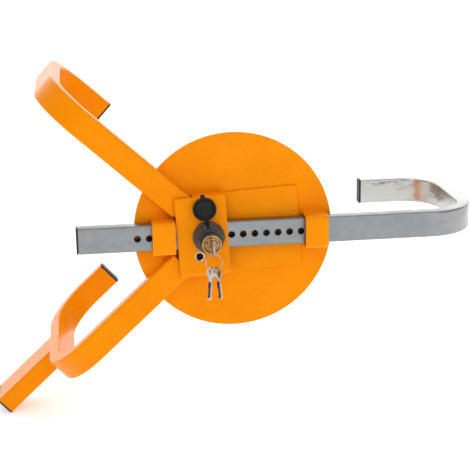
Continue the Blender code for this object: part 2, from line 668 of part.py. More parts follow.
def weather_cap():
    """A cup that folds over the lock's face, shown folded up, with a tab to lift it and a hinge strap."""
    frame = cap_frame()
    rim = COLLAR_FRONT - CAP_HINGE_Y
    front = -rim + GAP
    back = front + CAP_DEPTH
    wall = CAP_RADIUS - CAP_WALL
    profile = [
        (0.0, back - CAP_WALL), (wall, back - CAP_WALL), (wall, front), (CAP_RADIUS, front),
        (CAP_RADIUS, back - 0.001), (CAP_RADIUS - 0.001, back), (0.0, back),
    ]
    cup = turned("weather_cap", profile, 0.0, 0.0, RUBBER)
    cup.location = (0.0, 0.0, 0.0)
    cup.matrix_world = frame @ Matrix.Translation((0, 0, CAP_HINGE_Z)) @ Matrix.Rotation(pi / 2, 4, "X")
    top = CAP_HINGE_Z + CAP_RADIUS
    half = EAR_INNER - GAP
    tab_low, tab_high = (-TAB_HALF, back - 0.003, top - 0.001), (TAB_HALF, back - 0.001, top + TAB_RISE)
    tab = block("cap_tab", tab_low, tab_high, None, CUTTERS)
    low, root = -CAP_STRAP, CAP_HINGE_Z - CAP_RADIUS + 0.001
    strap = block("cap_strap", (-half, low, low), (half, back - 0.0005, CAP_STRAP), None, CUTTERS)
    riser = block("cap_riser", (-half, front + 0.0005, 0.0), (half, back - 0.0005, root), None, CUTTERS)
    for piece in (tab, strap, riser):
        take_transform(piece, frame)
        boolean(cup, piece, "UNION")
    hinge_bore(cup, frame, half)


def hinge_rod(name, radius, half_length, frame, look, collection=None):
    """A round bar along the weather cap's hinge."""
    work = bmesh.new()
    bmesh.ops.create_cone(
        work, cap_ends=True, segments=16, radius1=radius, radius2=radius, depth=2 * half_length
    )
    bmesh.ops.transform(work, matrix=frame @ Matrix.Rotation(pi / 2, 4, "Y"), verts=work.verts)
    mesh = bpy.data.meshes.new(name)
    work.to_mesh(mesh)
    work.free()
    return smooth(add(name, mesh, look, collection))


def hinge_bore(obj, frame, half_length):
    name = obj.name + "_hinge_bore"
    boolean(obj, hinge_rod(name, HINGE_PIN_RADIUS + GAP, half_length + 0.002, frame, None, CUTTERS))


def cap_band():
    """The ring round the collar's nose that carries the weather cap's hinge between two ears."""
    frame = cap_frame()
    inner, front, back = COLLAR_NOSE + GAP, CAP_HINGE_Y - BAND_HALF, CAP_HINGE_Y + BAND_HALF
    outer = inner + BAND_THICK
    profile = [(inner, front), (outer, front), (outer, back), (inner, back)]
    band = turned("cap_band", profile, LOCK_X, 0.0, RUBBER, True, ROUND)
    side = EAR_INNER + EAR_WIDTH
    for name, low, high in (("left_ear", -side, -EAR_INNER), ("right_ear", EAR_INNER, side)):
        foot = inner + BAND_THICK / 2 - CAP_HINGE_Z
        ear = block(name, (low, -BAND_HALF + GAP, foot), (high, BAND_HALF - GAP, CAP_STRAP), None, CUTTERS)
        take_transform(ear, frame)
        boolean(band, ear, "UNION")
    hinge_bore(band, frame, side)


def cap_hinge_pin():
    hinge_rod("cap_hinge_pin", HINGE_PIN_RADIUS, EAR_INNER + EAR_WIDTH, cap_frame(), NICKEL)


def housing_bolt_and_nut():
    """A domed bolt that seats on the backing plate inside its sleeve, and its nut, pressed into the disc."""
    head_back = PLATE_FRONT - GAP
    head = head_back - BOLT_HEAD_THICK
    tip = -2 * GAP
    profile = [
        (0.0, head), (BOLT_HEAD_RADIUS * 0.6, head), (BOLT_HEAD_RADIUS, head + BOLT_HEAD_THICK * 0.4),
        (BOLT_HEAD_RADIUS, head_back),
        (BOLT_RADIUS, head_back), (BOLT_RADIUS, tip), (0.0, tip),
    ]
    turned("housing_bolt", profile, BOLT_X, BOLT_Z, DARK, False, 20)
    nut = rod("housing_nut", NUT_RADIUS, DISC_FRONT, -GAP, BOLT_X, BOLT_Z, STEEL, None, 6)
    cut_round(nut, BOLT_RADIUS + GAP, DISC_FRONT - OVERRUN, OVERRUN, BOLT_X, BOLT_Z)


# Assembly ------------------------------------------------------------------------------------------
def build():
    cover_disc()
    backing_plate()
    lock_housing()
    for name, centre in GUIDE_CENTRES.items():
        bar_guide(name, centre)
    arm("upper_arm", 1)
    ground_leg(*arm("lower_arm", -1))
    sliding_bar()
    bolt_sleeve()
    housing_bolt_and_nut()
    lock_collar()
    pin_bush()
    lock_barrel()
    face_ring()
    locking_pin()
    wire = 2 * SPRING_WIRE
    coil("pin_spring", SPRING_RADIUS, SPRING_WIRE, SPRING_TURNS,
         HOUSING_FRONT - BUSH_FLANGE_THICK - GAP - wire, PIN_SEAT + wire, STEEL)
    lock_plug()
    key_in_lock()
    key_ring()
    spare_key("spare_key_left", -1)
    spare_key("spare_key_right", 1)
    weather_cap()
    cap_band()
    cap_hinge_pin()


build()
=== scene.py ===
# %% [markdown]
# # A wheel clamp in orange powder coat and galvanised steel
# The clamp is a thin cover disc with two fixed hooked arms, and a hooked bar that slides through it. A
# lock pushes a pin into the bar's holes. The working model, with its real sizes and joints, is already
# there: this lesson dresses it. Each cell explains one piece or one finish, then makes it.

# %% Load the working model
from math import cos, pi, radians, sin

import bmesh
import bpy
from mathutils import Matrix, Vector


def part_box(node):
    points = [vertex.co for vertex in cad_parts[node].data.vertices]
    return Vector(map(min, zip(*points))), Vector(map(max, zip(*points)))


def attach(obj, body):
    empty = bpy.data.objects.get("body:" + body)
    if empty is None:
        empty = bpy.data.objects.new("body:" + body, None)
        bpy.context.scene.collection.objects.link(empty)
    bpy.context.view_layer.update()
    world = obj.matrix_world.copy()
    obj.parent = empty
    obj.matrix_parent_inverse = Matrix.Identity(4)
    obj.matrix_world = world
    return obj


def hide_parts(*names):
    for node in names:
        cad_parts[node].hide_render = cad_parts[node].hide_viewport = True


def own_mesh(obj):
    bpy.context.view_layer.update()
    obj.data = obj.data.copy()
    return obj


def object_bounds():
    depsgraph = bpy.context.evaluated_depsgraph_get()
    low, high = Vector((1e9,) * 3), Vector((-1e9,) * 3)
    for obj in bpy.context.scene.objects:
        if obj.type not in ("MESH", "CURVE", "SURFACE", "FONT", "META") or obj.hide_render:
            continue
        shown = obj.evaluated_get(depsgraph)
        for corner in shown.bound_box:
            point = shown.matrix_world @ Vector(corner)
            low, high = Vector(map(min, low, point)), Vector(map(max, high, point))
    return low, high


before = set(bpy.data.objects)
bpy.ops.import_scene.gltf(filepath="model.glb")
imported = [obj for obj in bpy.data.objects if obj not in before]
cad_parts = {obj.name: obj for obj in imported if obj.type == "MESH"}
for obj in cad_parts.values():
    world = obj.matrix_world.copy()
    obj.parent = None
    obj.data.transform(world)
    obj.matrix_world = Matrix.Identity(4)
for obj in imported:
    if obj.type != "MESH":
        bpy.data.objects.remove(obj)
cad_low, cad_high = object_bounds()

# %% [markdown]
# ## Measures taken from the working model
# Every new piece has to sit exactly where the working one does, so its place is read from the model and
# not typed again. Only what a box can't tell, such as the angle of the arms, is written here as a number
# of its own. The backing plate and the lock housing are welded on a few degrees askew, so their boxes are
# turned back square first, and the finished pieces are turned again.

# %% Sizes and places
GAP = 0.0003
disc_low, disc_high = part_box("cover_disc")
plate_low, plate_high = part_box("backing_plate")
housing_low, housing_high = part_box("lock_housing")
bar_low, bar_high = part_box("sliding_bar")
collar_low, collar_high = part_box("lock_collar")
barrel_low, barrel_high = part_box("lock_barrel")

TUBE_WIDTH = bar_high.z - bar_low.z
TUBE_DEPTH, TUBE_WALL, TUBE_CORNER = 0.016, 0.002, 0.003
BAR_FRONT = bar_low.y
BAR_BEND, BAR_RETURN = 0.062, 0.11

ARM_ANGLE = radians(42.5)
ARM_APEX, ARM_OUTER = -0.025, 0.264
ARM_BEND, ARM_RETURN = 0.06, 0.098
ARM_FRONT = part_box("upper_arm")[0].y
ARM_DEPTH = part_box("upper_arm")[1].y - ARM_FRONT
ARM_INNER = (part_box("upper_arm")[0].z + TUBE_WIDTH / 2 * cos(ARM_ANGLE)) / sin(ARM_ANGLE)

LOCK_X = (collar_low.x + collar_high.x) / 2
WELD_TURN = radians(3.3)
LOCK_FACE = barrel_low.y
BOLT_X = sum(corner.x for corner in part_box("housing_nut")) / 2
BOLT_Z = sum(corner.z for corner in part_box("housing_nut")) / 2


def squared(low, high):
    """The corners that a piece welded on askew would have if it were turned back square."""
    wide, tall = high.x - low.x, high.z - low.z
    half_width = (wide * cos(WELD_TURN) - tall * sin(WELD_TURN)) / (2 * cos(2 * WELD_TURN))
    half_height = (tall * cos(WELD_TURN) - wide * sin(WELD_TURN)) / (2 * cos(2 * WELD_TURN))
    middle, half = (low + high) / 2, Vector((half_width, (high.y - low.y) / 2, half_height))
    return middle - half, middle + half


def askew(low, high):
    """The small turn of a piece about its own middle."""
    middle = (low + high) / 2
    middle.y = 0.0
    return Matrix.Translation(middle) @ Matrix.Rotation(-WELD_TURN, 4, "Y") @ Matrix.Translation(-middle)


print("disc", round(2 * disc_high.x, 4), "m across, bar", round(bar_high.x - bar_low.x, 4), "m long")

# %% [markdown]
# ## Small helpers for finishes
# All finishes are node trees on a Principled shader. Their patterns are read from Object coordinates,
# which are metres on the piece itself, so a pattern keeps its real size and moves with the piece. A noise
# is the usual start: stretched, it becomes brushing; through a Map Range it becomes a slight change of
# roughness; through a Bump node it becomes a skin like that of sprayed paint.

# %% Material helpers
def fill(made, target, values):
    """Give a node's sockets plain values or links from another node's output."""
    for socket, value in values.items():
        if isinstance(value, bpy.types.NodeSocket):
            made.node_tree.links.new(value, target.inputs[socket])
        elif value is not None:
            target.inputs[socket].default_value = value
    return target


def add_node(made, kind, values=None):
    """A new shader node with its sockets filled."""
    return fill(made, made.node_tree.nodes.new("ShaderNode" + kind), values or {})


def dress(made, values):
    """Fill the sockets of a material's Principled shader."""
    fill(made, made.node_tree.nodes["Principled BSDF"], values)
    return made


def finish(name, roughness=0.5, metallic=0.0, coat=0.0, coat_roughness=0.1, specular=0.5):
    """A material with a Principled shader whose plain values are set on its own sockets."""
    made = bpy.data.materials.new(name + "_finish")
    made.use_nodes = True
    return dress(made, {
        "Roughness": roughness, "Metallic": metallic, "Coat Weight": coat,
        "Coat Roughness": coat_roughness, "Specular IOR Level": specular,
    })


def noise(made, size, detail=3.0, stretch=(1.0, 1.0, 1.0), source="Object"):
    """A noise whose blobs are about size metres across, stretched along the piece's axes."""
    place = add_node(made, "TexCoord").outputs[source]
    scale = [1.0 / (size * share) for share in stretch]
    place = add_node(made, "Mapping", {"Scale": scale, "Vector": place}).outputs["Vector"]
    return add_node(made, "TexNoise", {"Scale": 1.0, "Detail": detail, "Vector": place}).outputs["Fac"]


def grains(made, size):
    """Flat cells about size metres across, each with its own value, like zinc crystals."""
    place = add_node(made, "TexCoord").outputs["Object"]
    cells = add_node(made, "TexVoronoi", {"Scale": 1.0 / size, "Vector": place}).outputs["Color"]
    return add_node(made, "SeparateColor", {"Color": cells}).outputs["Red"]


def spread(made, value, low, high, start=0.35, end=0.65):
    """Map a pattern's middle range to low..high."""
    limits = {"From Min": start, "From Max": end, "To Min": low, "To Max": high}
    return add_node(made, "MapRange", {"Value": value, **limits}).outputs["Result"]


def times(made, first, second):
    """The product of two patterns."""
    product = add_node(made, "Math", {0: first, 1: second})
    product.operation = "MULTIPLY"
    return product.outputs["Value"]


def two_tone(made, value, first, second):
    """A colour between two, chosen by a pattern. Each is plain numbers or another pattern's colour."""
    mix = add_node(made, "Mix")
    mix.data_type = "RGBA"
    first, second = ((*color, 1.0) if isinstance(color, tuple) else color for color in (first, second))
    return fill(made, mix, {"A": first, "B": second, "Factor": value}).outputs["Result"]


def bump(made, value, depth, under=None, share=None):
    """A pattern as relief of that depth in metres, over an earlier relief; share fades it in and out."""
    values = {"Distance": depth, "Height": value, "Strength": share, "Normal": under}
    return add_node(made, "Bump", values).outputs["Normal"]


def plug_in(made, color=None, roughness=None, normal=None):
    """Join patterns to the shader."""
    return dress(made, {"Base Color": color, "Roughness": roughness, "Normal": normal})


print("material helpers ready")

# %% [markdown]
# ## Orange powder coat
# Powder coat is plastic baked onto steel: a strong even colour, glossy, with the faint dimples that
# painters call orange peel. It could be one flat colour with a low roughness, but then large plates look
# like coloured paper. Here a slow noise shifts the colour a little, a finer one varies the gloss, and two
# bumps make the dimples and the slight waviness of the sheet below. A faint clear coat sharpens the edge
# highlights, and the shine itself is tinted orange, because the pigment lies right under the surface:
# that keeps the colour deep under white light.

# %% Orange powder coat
def orange_coat():
    made = finish("orange_coat", coat=0.15, coat_roughness=0.08, specular=0.35)
    dress(made, {"Coat IOR": 1.25, "Specular Tint": (1.0, 0.42, 0.04, 1.0)})
    cloud = spread(made, noise(made, 0.06, 2.0), 0.0, 1.0)
    color = two_tone(made, cloud, (0.88, 0.262, 0.001), (0.83, 0.238, 0.0008))
    gloss = spread(made, noise(made, 0.004, 4.0), 0.24, 0.32)
    waves = bump(made, noise(made, 0.03, 1.0), 0.00006)
    peel = bump(made, noise(made, 0.0014, 1.0), 0.000006, waves)
    return plug_in(made, color, gloss, peel)


ORANGE = orange_coat()
print("made", ORANGE.name)

# %% [markdown]
# ## Galvanised and drawn steel
# The bar is zinc-plated tube. Up close it shows fine lines along its length, from drawing and handling,
# and faint cloudy crystals. Brushing is a noise stretched hard along the tube. The tube turns two
# corners, so lines that ran along one world axis would stand across it round the bends. The bar therefore
# gets a UV map whose U runs along the tube, and the brushing reads that map. Bending rubs the zinc bright,
# so past the first bend the same U also lowers the roughness, lightens the colour and brings in dents. It
# also brings in darker smears, which are painted reflection: the dark streaks that the bright hook
# reflects are painted into its colour.

# %% Steel finishes
HOOK_START = bar_high.x - bar_low.x - BAR_BEND


def bar_steel():
    made = finish("galvanised_steel", metallic=1.0)
    crystal = spread(made, grains(made, 0.0065), 0.0, 0.35, 0.0, 1.0)
    drawn = two_tone(made, crystal, (0.265, 0.28, 0.29), (0.196, 0.21, 0.22))
    run = add_node(made, "SeparateXYZ", {"Vector": add_node(made, "TexCoord").outputs["UV"]}).outputs["X"]
    polish = spread(made, run, 1.0, 0.65, HOOK_START - 0.02, HOOK_START + 0.045)
    worn = spread(made, run, 0.0, 1.0, HOOK_START - 0.01, HOOK_START + 0.09)
    # Darker streaky smears past the first bend: painted reflection of the dark streaks on the bright hook.
    painted_reflection_streaks = spread(made, noise(made, 0.024, 3.0, (1.6, 0.5, 1.0), "UV"), 0.0, 0.8, 0.54, 0.76)
    bright = (0.46, 0.456, 0.43)
    tip = spread(made, run, 0.0, 1.0, HOOK_START + 0.238, HOOK_START + 0.268)
    # The hook's colour: rubbed bright zinc, with painted reflection streaks that fade out near the tip.
    rubbed_with_painted_streaks = two_tone(made, tip, two_tone(made, painted_reflection_streaks, bright, (0.18, 0.172, 0.157)), bright)
    smears = spread(made, noise(made, 0.03, 3.0, (2.5, 0.5, 1.0), "UV"), 0.3, 0.44)
    scratches = bump(made, noise(made, 0.001, 3.0, (60.0, 0.35, 1.0), "UV"), 0.000012)
    dents = bump(made, noise(made, 0.014, 2.0), 0.0008, scratches, worn)
    return plug_in(made, two_tone(made, worn, drawn, rubbed_with_painted_streaks), times(made, smears, polish), dents)


def turned_metal(name, first, second, low=0.16, high=0.32):
    """Bright machined metal: a fine grain in the gloss and a slow change of tint."""
    made = finish(name, metallic=1.0)
    color = two_tone(made, spread(made, noise(made, 0.004, 3.0), 0.0, 1.0), first, second)
    rough = spread(made, noise(made, 0.0006, 3.0), low, high)
    return plug_in(made, color, rough, bump(made, noise(made, 0.0004, 2.0), 0.000004))


BAR_STEEL = bar_steel()
BRIGHT_ZINC = turned_metal("bright_zinc", (0.86, 0.86, 0.83), (0.74, 0.74, 0.72), 0.2, 0.36)
NICKEL = turned_metal("nickel", (0.46, 0.45, 0.435), (0.34, 0.332, 0.32), 0.08, 0.2)
BRASS = turned_metal("brass", (0.86, 0.56, 0.19), (0.72, 0.42, 0.12), 0.12, 0.24)
BRONZE = turned_metal("bronze", (0.4, 0.235, 0.095), (0.26, 0.145, 0.055), 0.14, 0.3)
SPRING_STEEL = turned_metal("spring_steel", (0.42, 0.43, 0.45), (0.34, 0.35, 0.37), 0.22, 0.38)
print("made steel, zinc, nickel, brass and bronze")

# %% [markdown]
# ## Black plastic, rubber and the dark lock body
# The tube plugs are moulded plastic, the weather cap is a softer rubber, and the lock's collar is zinc
# with a dark electroplated skin. All are nearly black, so they differ in roughness and grain rather than
# in colour.

# %% Dark finishes
def dark_finish(name, first, second, low, high, grain, depth, metallic=0.0):
    made = finish(name, metallic=metallic, specular=0.25)
    color = two_tone(made, spread(made, noise(made, 0.006, 3.0), 0.0, 1.0), first, second)
    rough = spread(made, noise(made, 0.002, 3.0), low, high)
    return plug_in(made, color, rough, bump(made, noise(made, grain, 2.0), depth))


PLASTIC = dark_finish(
    "black_plastic", (0.016, 0.016, 0.017), (0.026, 0.026, 0.028), 0.38, 0.55, 0.0005, 0.00002
)
RUBBER = dark_finish(
    "black_rubber", (0.006, 0.006, 0.0065), (0.012, 0.012, 0.0125), 0.5, 0.7, 0.0004, 0.00002
)
DARK_ZINC = dark_finish(
    "dark_zinc", (0.105, 0.105, 0.105), (0.065, 0.065, 0.066), 0.26, 0.4, 0.0006, 0.000008, 0.6
)
print("made plastic, rubber and dark zinc")

# %% [markdown]
# ## Small helpers for shapes
# A bmesh is a mesh that is still being worked on. Each piece starts from a primitive or a short outline,
# and operators then extrude, spin or bevel it. `settle` turns the result into an object, gives it its
# finish, and says which moving body it rides on and which working piece it stands for.

# %% Shape helpers
WELD_DISTANCE = 0.000002


def merged(work):
    """Weld points that lie on each other."""
    bmesh.ops.remove_doubles(work, verts=work.verts, dist=WELD_DISTANCE)
    return work


def face_out(work):
    """Turn all faces outwards."""
    bmesh.ops.recalc_face_normals(work, faces=work.faces)
    return work


def axes(first, second, third):
    """A matrix whose columns are three directions."""
    return Matrix((first, second, third)).transposed().to_4x4()


def shown(name, data):
    """A new object in the scene."""
    made = bpy.data.objects.new(name, data)
    bpy.context.scene.collection.objects.link(made)
    return made


def settle(name, work, look, body, nodes=(), angle=35.0, second=None):
    """Turn a bmesh into a finished piece at the origin."""
    face_out(merged(work))
    mesh = bpy.data.meshes.new(name)
    work.to_mesh(mesh)
    work.free()
    mesh.shade_smooth()
    mesh.set_sharp_from_angle(angle=radians(angle))
    mesh.materials.append(look)
    if second:
        mesh.materials.append(second)
    piece = shown(name, mesh)
    even = piece.modifiers.new("even shading", "WEIGHTED_NORMAL")
    even.keep_sharp = True
    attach(piece, body)
    if nodes:
        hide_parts(*nodes)
    return piece


def carry(work, place):
    """Move the whole bmesh by a matrix."""
    bmesh.ops.transform(work, matrix=place, verts=work.verts)
    return work


def pull(work, grown, move):
    """Move what an extrude has just grown."""
    moved = [part for part in grown if isinstance(part, bmesh.types.BMVert)]
    bmesh.ops.translate(work, verts=moved, vec=move)


def bevel(work, parts, radius, steps, affect="EDGES"):
    """Round the given edges or corners over."""
    bmesh.ops.bevel(
        work, geom=parts, offset=radius, offset_type="OFFSET", segments=steps, profile=0.5,
        affect=affect, clamp_overlap=True, material=-1,
    )


def rounded(work, radius, steps=3, limit=40.0):
    """Bevel every edge that is sharper than the limit."""
    sharp = [edge for edge in work.edges if edge.is_manifold and edge.calc_face_angle() > radians(limit)]
    bevel(work, sharp, radius, steps)
    return work


def block(low, high):
    """A box between two corners, as a bmesh."""
    work = bmesh.new()
    low, high = Vector(low), Vector(high)
    bmesh.ops.create_cube(work, size=1.0)
    return carry(work, Matrix.Translation((low + high) / 2) @ Matrix.Diagonal((*(high - low), 1.0)))


def peg(radius, length, segments, end_radius=None):
    """A round bar along Z about the origin, as a bmesh."""
    work = bmesh.new()
    end = radius if end_radius is None else end_radius
    bmesh.ops.create_cone(work, cap_ends=True, segments=segments, radius1=radius, radius2=end, depth=length)
    return work


def rod(radius, front, back, x, z, segments=64, front_radius=None):
    """A round bar along Y, as a bmesh."""
    place = Matrix.Translation((x, (front + back) / 2, z)) @ Matrix.Rotation(pi / 2, 4, "X")
    return carry(peg(radius, back - front, segments, front_radius), place)


def lathe(profile, x, z, closed=False, segments=96):
    """Spin an outline of (radius, y) points about an axis along Y."""
    work = bmesh.new()
    corners = [work.verts.new((x + radius, y, z)) for radius, y in profile]
    pairs = list(zip(corners, corners[1:]))
    if closed:
        pairs.append((corners[-1], corners[0]))
    edges = [work.edges.new(pair) for pair in pairs]
    bmesh.ops.spin(
        work, geom=corners + edges, cent=(x, 0, z), axis=(0, 1, 0), angle=2 * pi, steps=segments,
        use_merge=True,
    )
    return face_out(merged(work))


def report(*pieces):
    """Say what a cell has made."""
    for piece in pieces:
        print("made", piece.name, "with", len(piece.data.polygons), "faces")


def combine(work, other, operation):
    """Cut or join one bmesh with another, through the Boolean modifier's exact solver."""
    pair = []
    for shape in (work, other):
        face_out(shape)
        mesh = bpy.data.meshes.new("work")
        shape.to_mesh(mesh)
        shape.free()
        pair.append(shown("work", mesh))
    step = pair[0].modifiers.new("step", "BOOLEAN")
    step.operation = operation
    step.object = pair[1]
    step.solver = "EXACT"
    bpy.context.view_layer.update()
    result = bmesh.new()
    result.from_object(pair[0], bpy.context.evaluated_depsgraph_get())
    for obj in pair:
        mesh = obj.data
        bpy.data.objects.remove(obj)
        bpy.data.meshes.remove(mesh)
    return merged(result)


def cut(work, other):
    return combine(work, other, "DIFFERENCE")


def join(work, other):
    return combine(work, other, "UNION")


print("shape helpers ready")

# %% [markdown]
# ## The cover disc
# The disc is laser-cut sheet that hides the wheel's bolts. A cylinder would do, but its rim would be a
# hard corner, and real sheet catches a thin line of light there. So a filled circle is extruded to the
# sheet's thickness, and its rim is bevelled. One small hole takes a nut that is pressed in flush from
# behind.

# %% Cover disc
NUT_HOLE = 0.0058
PLATE_EDGE, PLATE_CORNER = 0.0009, 0.0055
SHEET_SHARP = 50.0
CUT_PAST = 0.001


def sheet_disc():
    work = rounded(rod(disc_high.x, disc_low.y, disc_high.y, 0.0, 0.0, 192), PLATE_EDGE, limit=60.0)
    work = cut(work, rod(NUT_HOLE, disc_low.y - CUT_PAST, disc_high.y + CUT_PAST, BOLT_X, BOLT_Z, 48))
    return settle("painted_disc", work, ORANGE, "frame", ["cover_disc"])


report(sheet_disc())

# %% [markdown]
# ## The backing plate
# The bar slides on a plate with rounded corners. A quad is given its outline first, by bevelling its four
# corner vertices, then it is extruded to its thickness and its front edge is rounded over, as folded and
# painted sheet is.

# %% Backing plate
def corner_plate(low, high, corner, steps=8):
    """A flat plate between two corners, thin along Y, with rounded corners."""
    work = bmesh.new()
    bmesh.ops.create_grid(work, x_segments=1, y_segments=1, size=0.5)
    size = Vector((high.x - low.x, high.z - low.z, 1.0))
    place = Matrix.Translation(((low.x + high.x) / 2, high.y, (low.z + high.z) / 2))
    carry(work, place @ Matrix.Rotation(pi / 2, 4, "X") @ Matrix.Diagonal((*size, 1.0)))
    bevel(work, work.verts[:], corner, steps, "VERTICES")
    grown = bmesh.ops.extrude_face_region(work, geom=work.faces[:])["geom"]
    pull(work, grown, (0.0, low.y - high.y, 0.0))
    return face_out(work)


def slide_plate():
    low, high = squared(plate_low, plate_high)
    work = rounded(corner_plate(low, high, PLATE_CORNER), PLATE_EDGE, limit=SHEET_SHARP)
    carry(work, askew(low, high))
    return settle("slide_plate", work, ORANGE, "frame", ["backing_plate"])


report(slide_plate())

# %% [markdown]
# ## Channels: the lock housing and the two bar guides
# All three are strips of sheet folded into a channel. The fold's inside and outside are round because
# sheet can't fold to a knife edge. A channel starts as three flat faces, its two folds are bevelled into
# arcs, and the skin is then given the sheet's thickness inwards.

# %% Folded channels
GUIDE_WALL, GUIDE_BEND = 0.003, 0.0055
FOLD_STEPS = 8
SHEET_EDGE = 0.0006


def folded_channel(low, high, wall, bend):
    """A channel that is open at the back, with its length along X."""
    work = bmesh.new()
    feet = [(low.x, high.y, low.z), (low.x, low.y, low.z), (low.x, low.y, high.z), (low.x, high.y, high.z)]
    corners = [work.verts.new(point) for point in feet]
    edges = [work.edges.new(pair) for pair in zip(corners, corners[1:])]
    grown = bmesh.ops.extrude_edge_only(work, edges=edges)["geom"]
    pull(work, grown, (high.x - low.x, 0.0, 0.0))
    bevel(work, [edge for edge in work.edges if edge.is_manifold], bend, FOLD_STEPS)
    face_out(work)
    front = min(work.faces, key=lambda face: face.calc_center_median().y)
    if front.normal.y > 0:
        bmesh.ops.reverse_faces(work, faces=work.faces)
    bmesh.ops.solidify(work, geom=work.faces[:], thickness=wall)
    return face_out(work)


def bar_guide(node):
    low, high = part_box(node)
    work = rounded(folded_channel(low, high, GUIDE_WALL, GUIDE_BEND), SHEET_EDGE, limit=SHEET_SHARP)
    return settle(node + "_strap", work, ORANGE, "frame", [node])


report(bar_guide("bar_guide_left"), bar_guide("bar_guide_right"))

# %% [markdown]
# ## The lock housing
# The housing is a larger channel. Its side walls stop short on the left, where the arms pass under its
# front. Two holes are cut with the Boolean modifier: one for the lock, one that gives access to the bolt.

# %% Lock housing
HOUSING_WALL, HOUSING_BEND, HOUSING_OVERHANG = 0.003, 0.0045, 0.0219
LOCK_HOLE, BOLT_HOLE = 0.0064, 0.006


def lock_housing():
    low, high = squared(housing_low, housing_high)
    work = folded_channel(low, high, HOUSING_WALL, HOUSING_BEND)
    inner, beyond = low.y + HOUSING_WALL, high.z + 0.01
    work = cut(work, block((low.x - 0.01, inner, -beyond), (low.x + HOUSING_OVERHANG, 0.01, beyond)))
    carry(work, askew(low, high))
    for radius, x, z in ((LOCK_HOLE, LOCK_X, 0.0), (BOLT_HOLE, BOLT_X, BOLT_Z)):
        work = cut(work, rod(radius, low.y - 0.01, inner + 0.002, x, z, 48))
    rounded(work, SHEET_EDGE, limit=SHEET_SHARP)
    return settle("folded_housing", work, ORANGE, "frame", ["lock_housing"])


report(lock_housing())

# %% [markdown]
# ## Hooked tubes
# Arms and bar are rectangular tube with rounded corners, bent twice. A curve with a bevel could draw
# them, but a curve can't hold a wall. Here the tube's section is made as a flat ring of faces: a
# rectangle with bevelled corners, inset by the wall's thickness, its middle deleted. The ring is then
# extruded along each straight and spun round each bend, and it leaves a closed wall behind it.

# %% Tube section and its path
def rounded_face(work, width, depth, corner):
    """A rectangle with rounded corners in the YZ plane at X = 0, front edge at Y = 0."""
    made = bmesh.ops.create_grid(work, x_segments=1, y_segments=1, size=0.5)["verts"]
    stand = Matrix(((0, 0, 1, 0), (0, 1, 0, depth / 2), (1, 0, 0, 0), (0, 0, 0, 1)))
    bmesh.ops.transform(work, matrix=stand @ Matrix.Diagonal((width, depth, 1.0, 1.0)), verts=made)
    bevel(work, made, corner, 5, "VERTICES")
    return work.faces[:]


def section(work, width, depth):
    """The tube's section, as a ring of faces."""
    middle = rounded_face(work, width, depth, TUBE_CORNER)
    ring = bmesh.ops.inset_region(
        work, faces=middle, thickness=TUBE_WALL, use_boundary=True, use_even_offset=True
    )["faces"]
    bmesh.ops.delete(work, geom=middle, context="FACES")
    return ring


def straight(work, faces, move):
    """Carry a section along a straight."""
    grown = bmesh.ops.extrude_face_region(work, geom=faces)["geom"]
    pull(work, grown, move)
    return [part for part in grown if isinstance(part, bmesh.types.BMFace)]


def bend(work, faces, centre, steps=28):
    """Carry a section round a quarter turn."""
    turned = bmesh.ops.spin(
        work, geom=faces, cent=centre, axis=(0, 0, 1), angle=pi / 2, steps=steps, use_merge=False
    )
    return [part for part in turned["geom_last"] if isinstance(part, bmesh.types.BMFace)]


def hooked_tube(inner, outer, depth, leg, radius):
    """The whole tube in its own frame: X along, Y back, Z across."""
    work = bmesh.new()
    ring = section(work, TUBE_WIDTH, TUBE_DEPTH)
    carry(work, Matrix.Translation((inner, 0.0, 0.0)))
    ring = straight(work, ring, (outer - radius - inner, 0.0, 0.0))
    ring = bend(work, ring, (outer - radius, radius, 0.0))
    ring = straight(work, ring, (0.0, depth - 2 * radius, 0.0))
    ring = bend(work, ring, (outer - radius, depth - radius, 0.0))
    straight(work, ring, (radius - leg, 0.0, 0.0))
    return face_out(work)


print("tube helpers ready")

# %% [markdown]
# ## The two arms
# Both arms are the same tube, one turned up and one turned down. Each is made lying along X and then
# placed by a matrix, whose three columns are the directions along the arm, back towards the wheel, and
# across the arm.

# %% Arms
def arm_directions(side):
    along = Vector((-cos(ARM_ANGLE), 0.0, side * sin(ARM_ANGLE)))
    across = Vector((-along.z, 0.0, along.x))
    return along, across


def arm_place(side):
    along, across = arm_directions(side)
    return Matrix.Translation((ARM_APEX, ARM_FRONT, 0.0)) @ axes(along, Vector((0, 1, 0)), across)


def painted_arm(node, side):
    work = hooked_tube(ARM_INNER, ARM_OUTER, ARM_DEPTH, ARM_RETURN, ARM_BEND)
    return settle("painted_" + node, carry(work, arm_place(side)), ORANGE, "frame", [node])


report(painted_arm("upper_arm", 1), painted_arm("lower_arm", -1))

# %% [markdown]
# ## The ground leg
# A second, deeper tube carries on from the lower arm, so that the wheel can't roll. It is a plain length,
# so one section and one straight make it.

# %% Ground leg
LEG_LENGTH = 0.095
leg_low, leg_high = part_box("ground_leg")
LEG_DEPTH = leg_high.y - leg_low.y
LEG_WIDTH = 0.024


def ground_leg():
    work = bmesh.new()
    straight(work, section(work, LEG_WIDTH, LEG_DEPTH), (LEG_LENGTH, 0.0, 0.0))
    lift = Matrix.Translation((ARM_OUTER + GAP, leg_low.y - ARM_FRONT, 0.0))
    carry(work, arm_place(-1) @ lift)
    return settle("painted_leg", work, ORANGE, "frame", ["ground_leg"])


report(ground_leg())

# %% [markdown]
# ## The sliding bar
# The bar is the same tube in bare steel, with a row of holes through both walls. The holes are drilled
# with the Boolean modifier, by cutters with a small flare at the front face, which leaves the bright ring
# of a deburred hole. Afterwards the bar gets its UV map: U is the distance along the tube, V the distance
# round it, both in metres.

# %% Sliding bar
HOLE_RADIUS, HOLE_PITCH, HOLE_FLARE = 0.0041, 0.014, 0.0002
HOLE_NUMBERS = range(-6, 9)
bar_depth = bar_high.y - bar_low.y


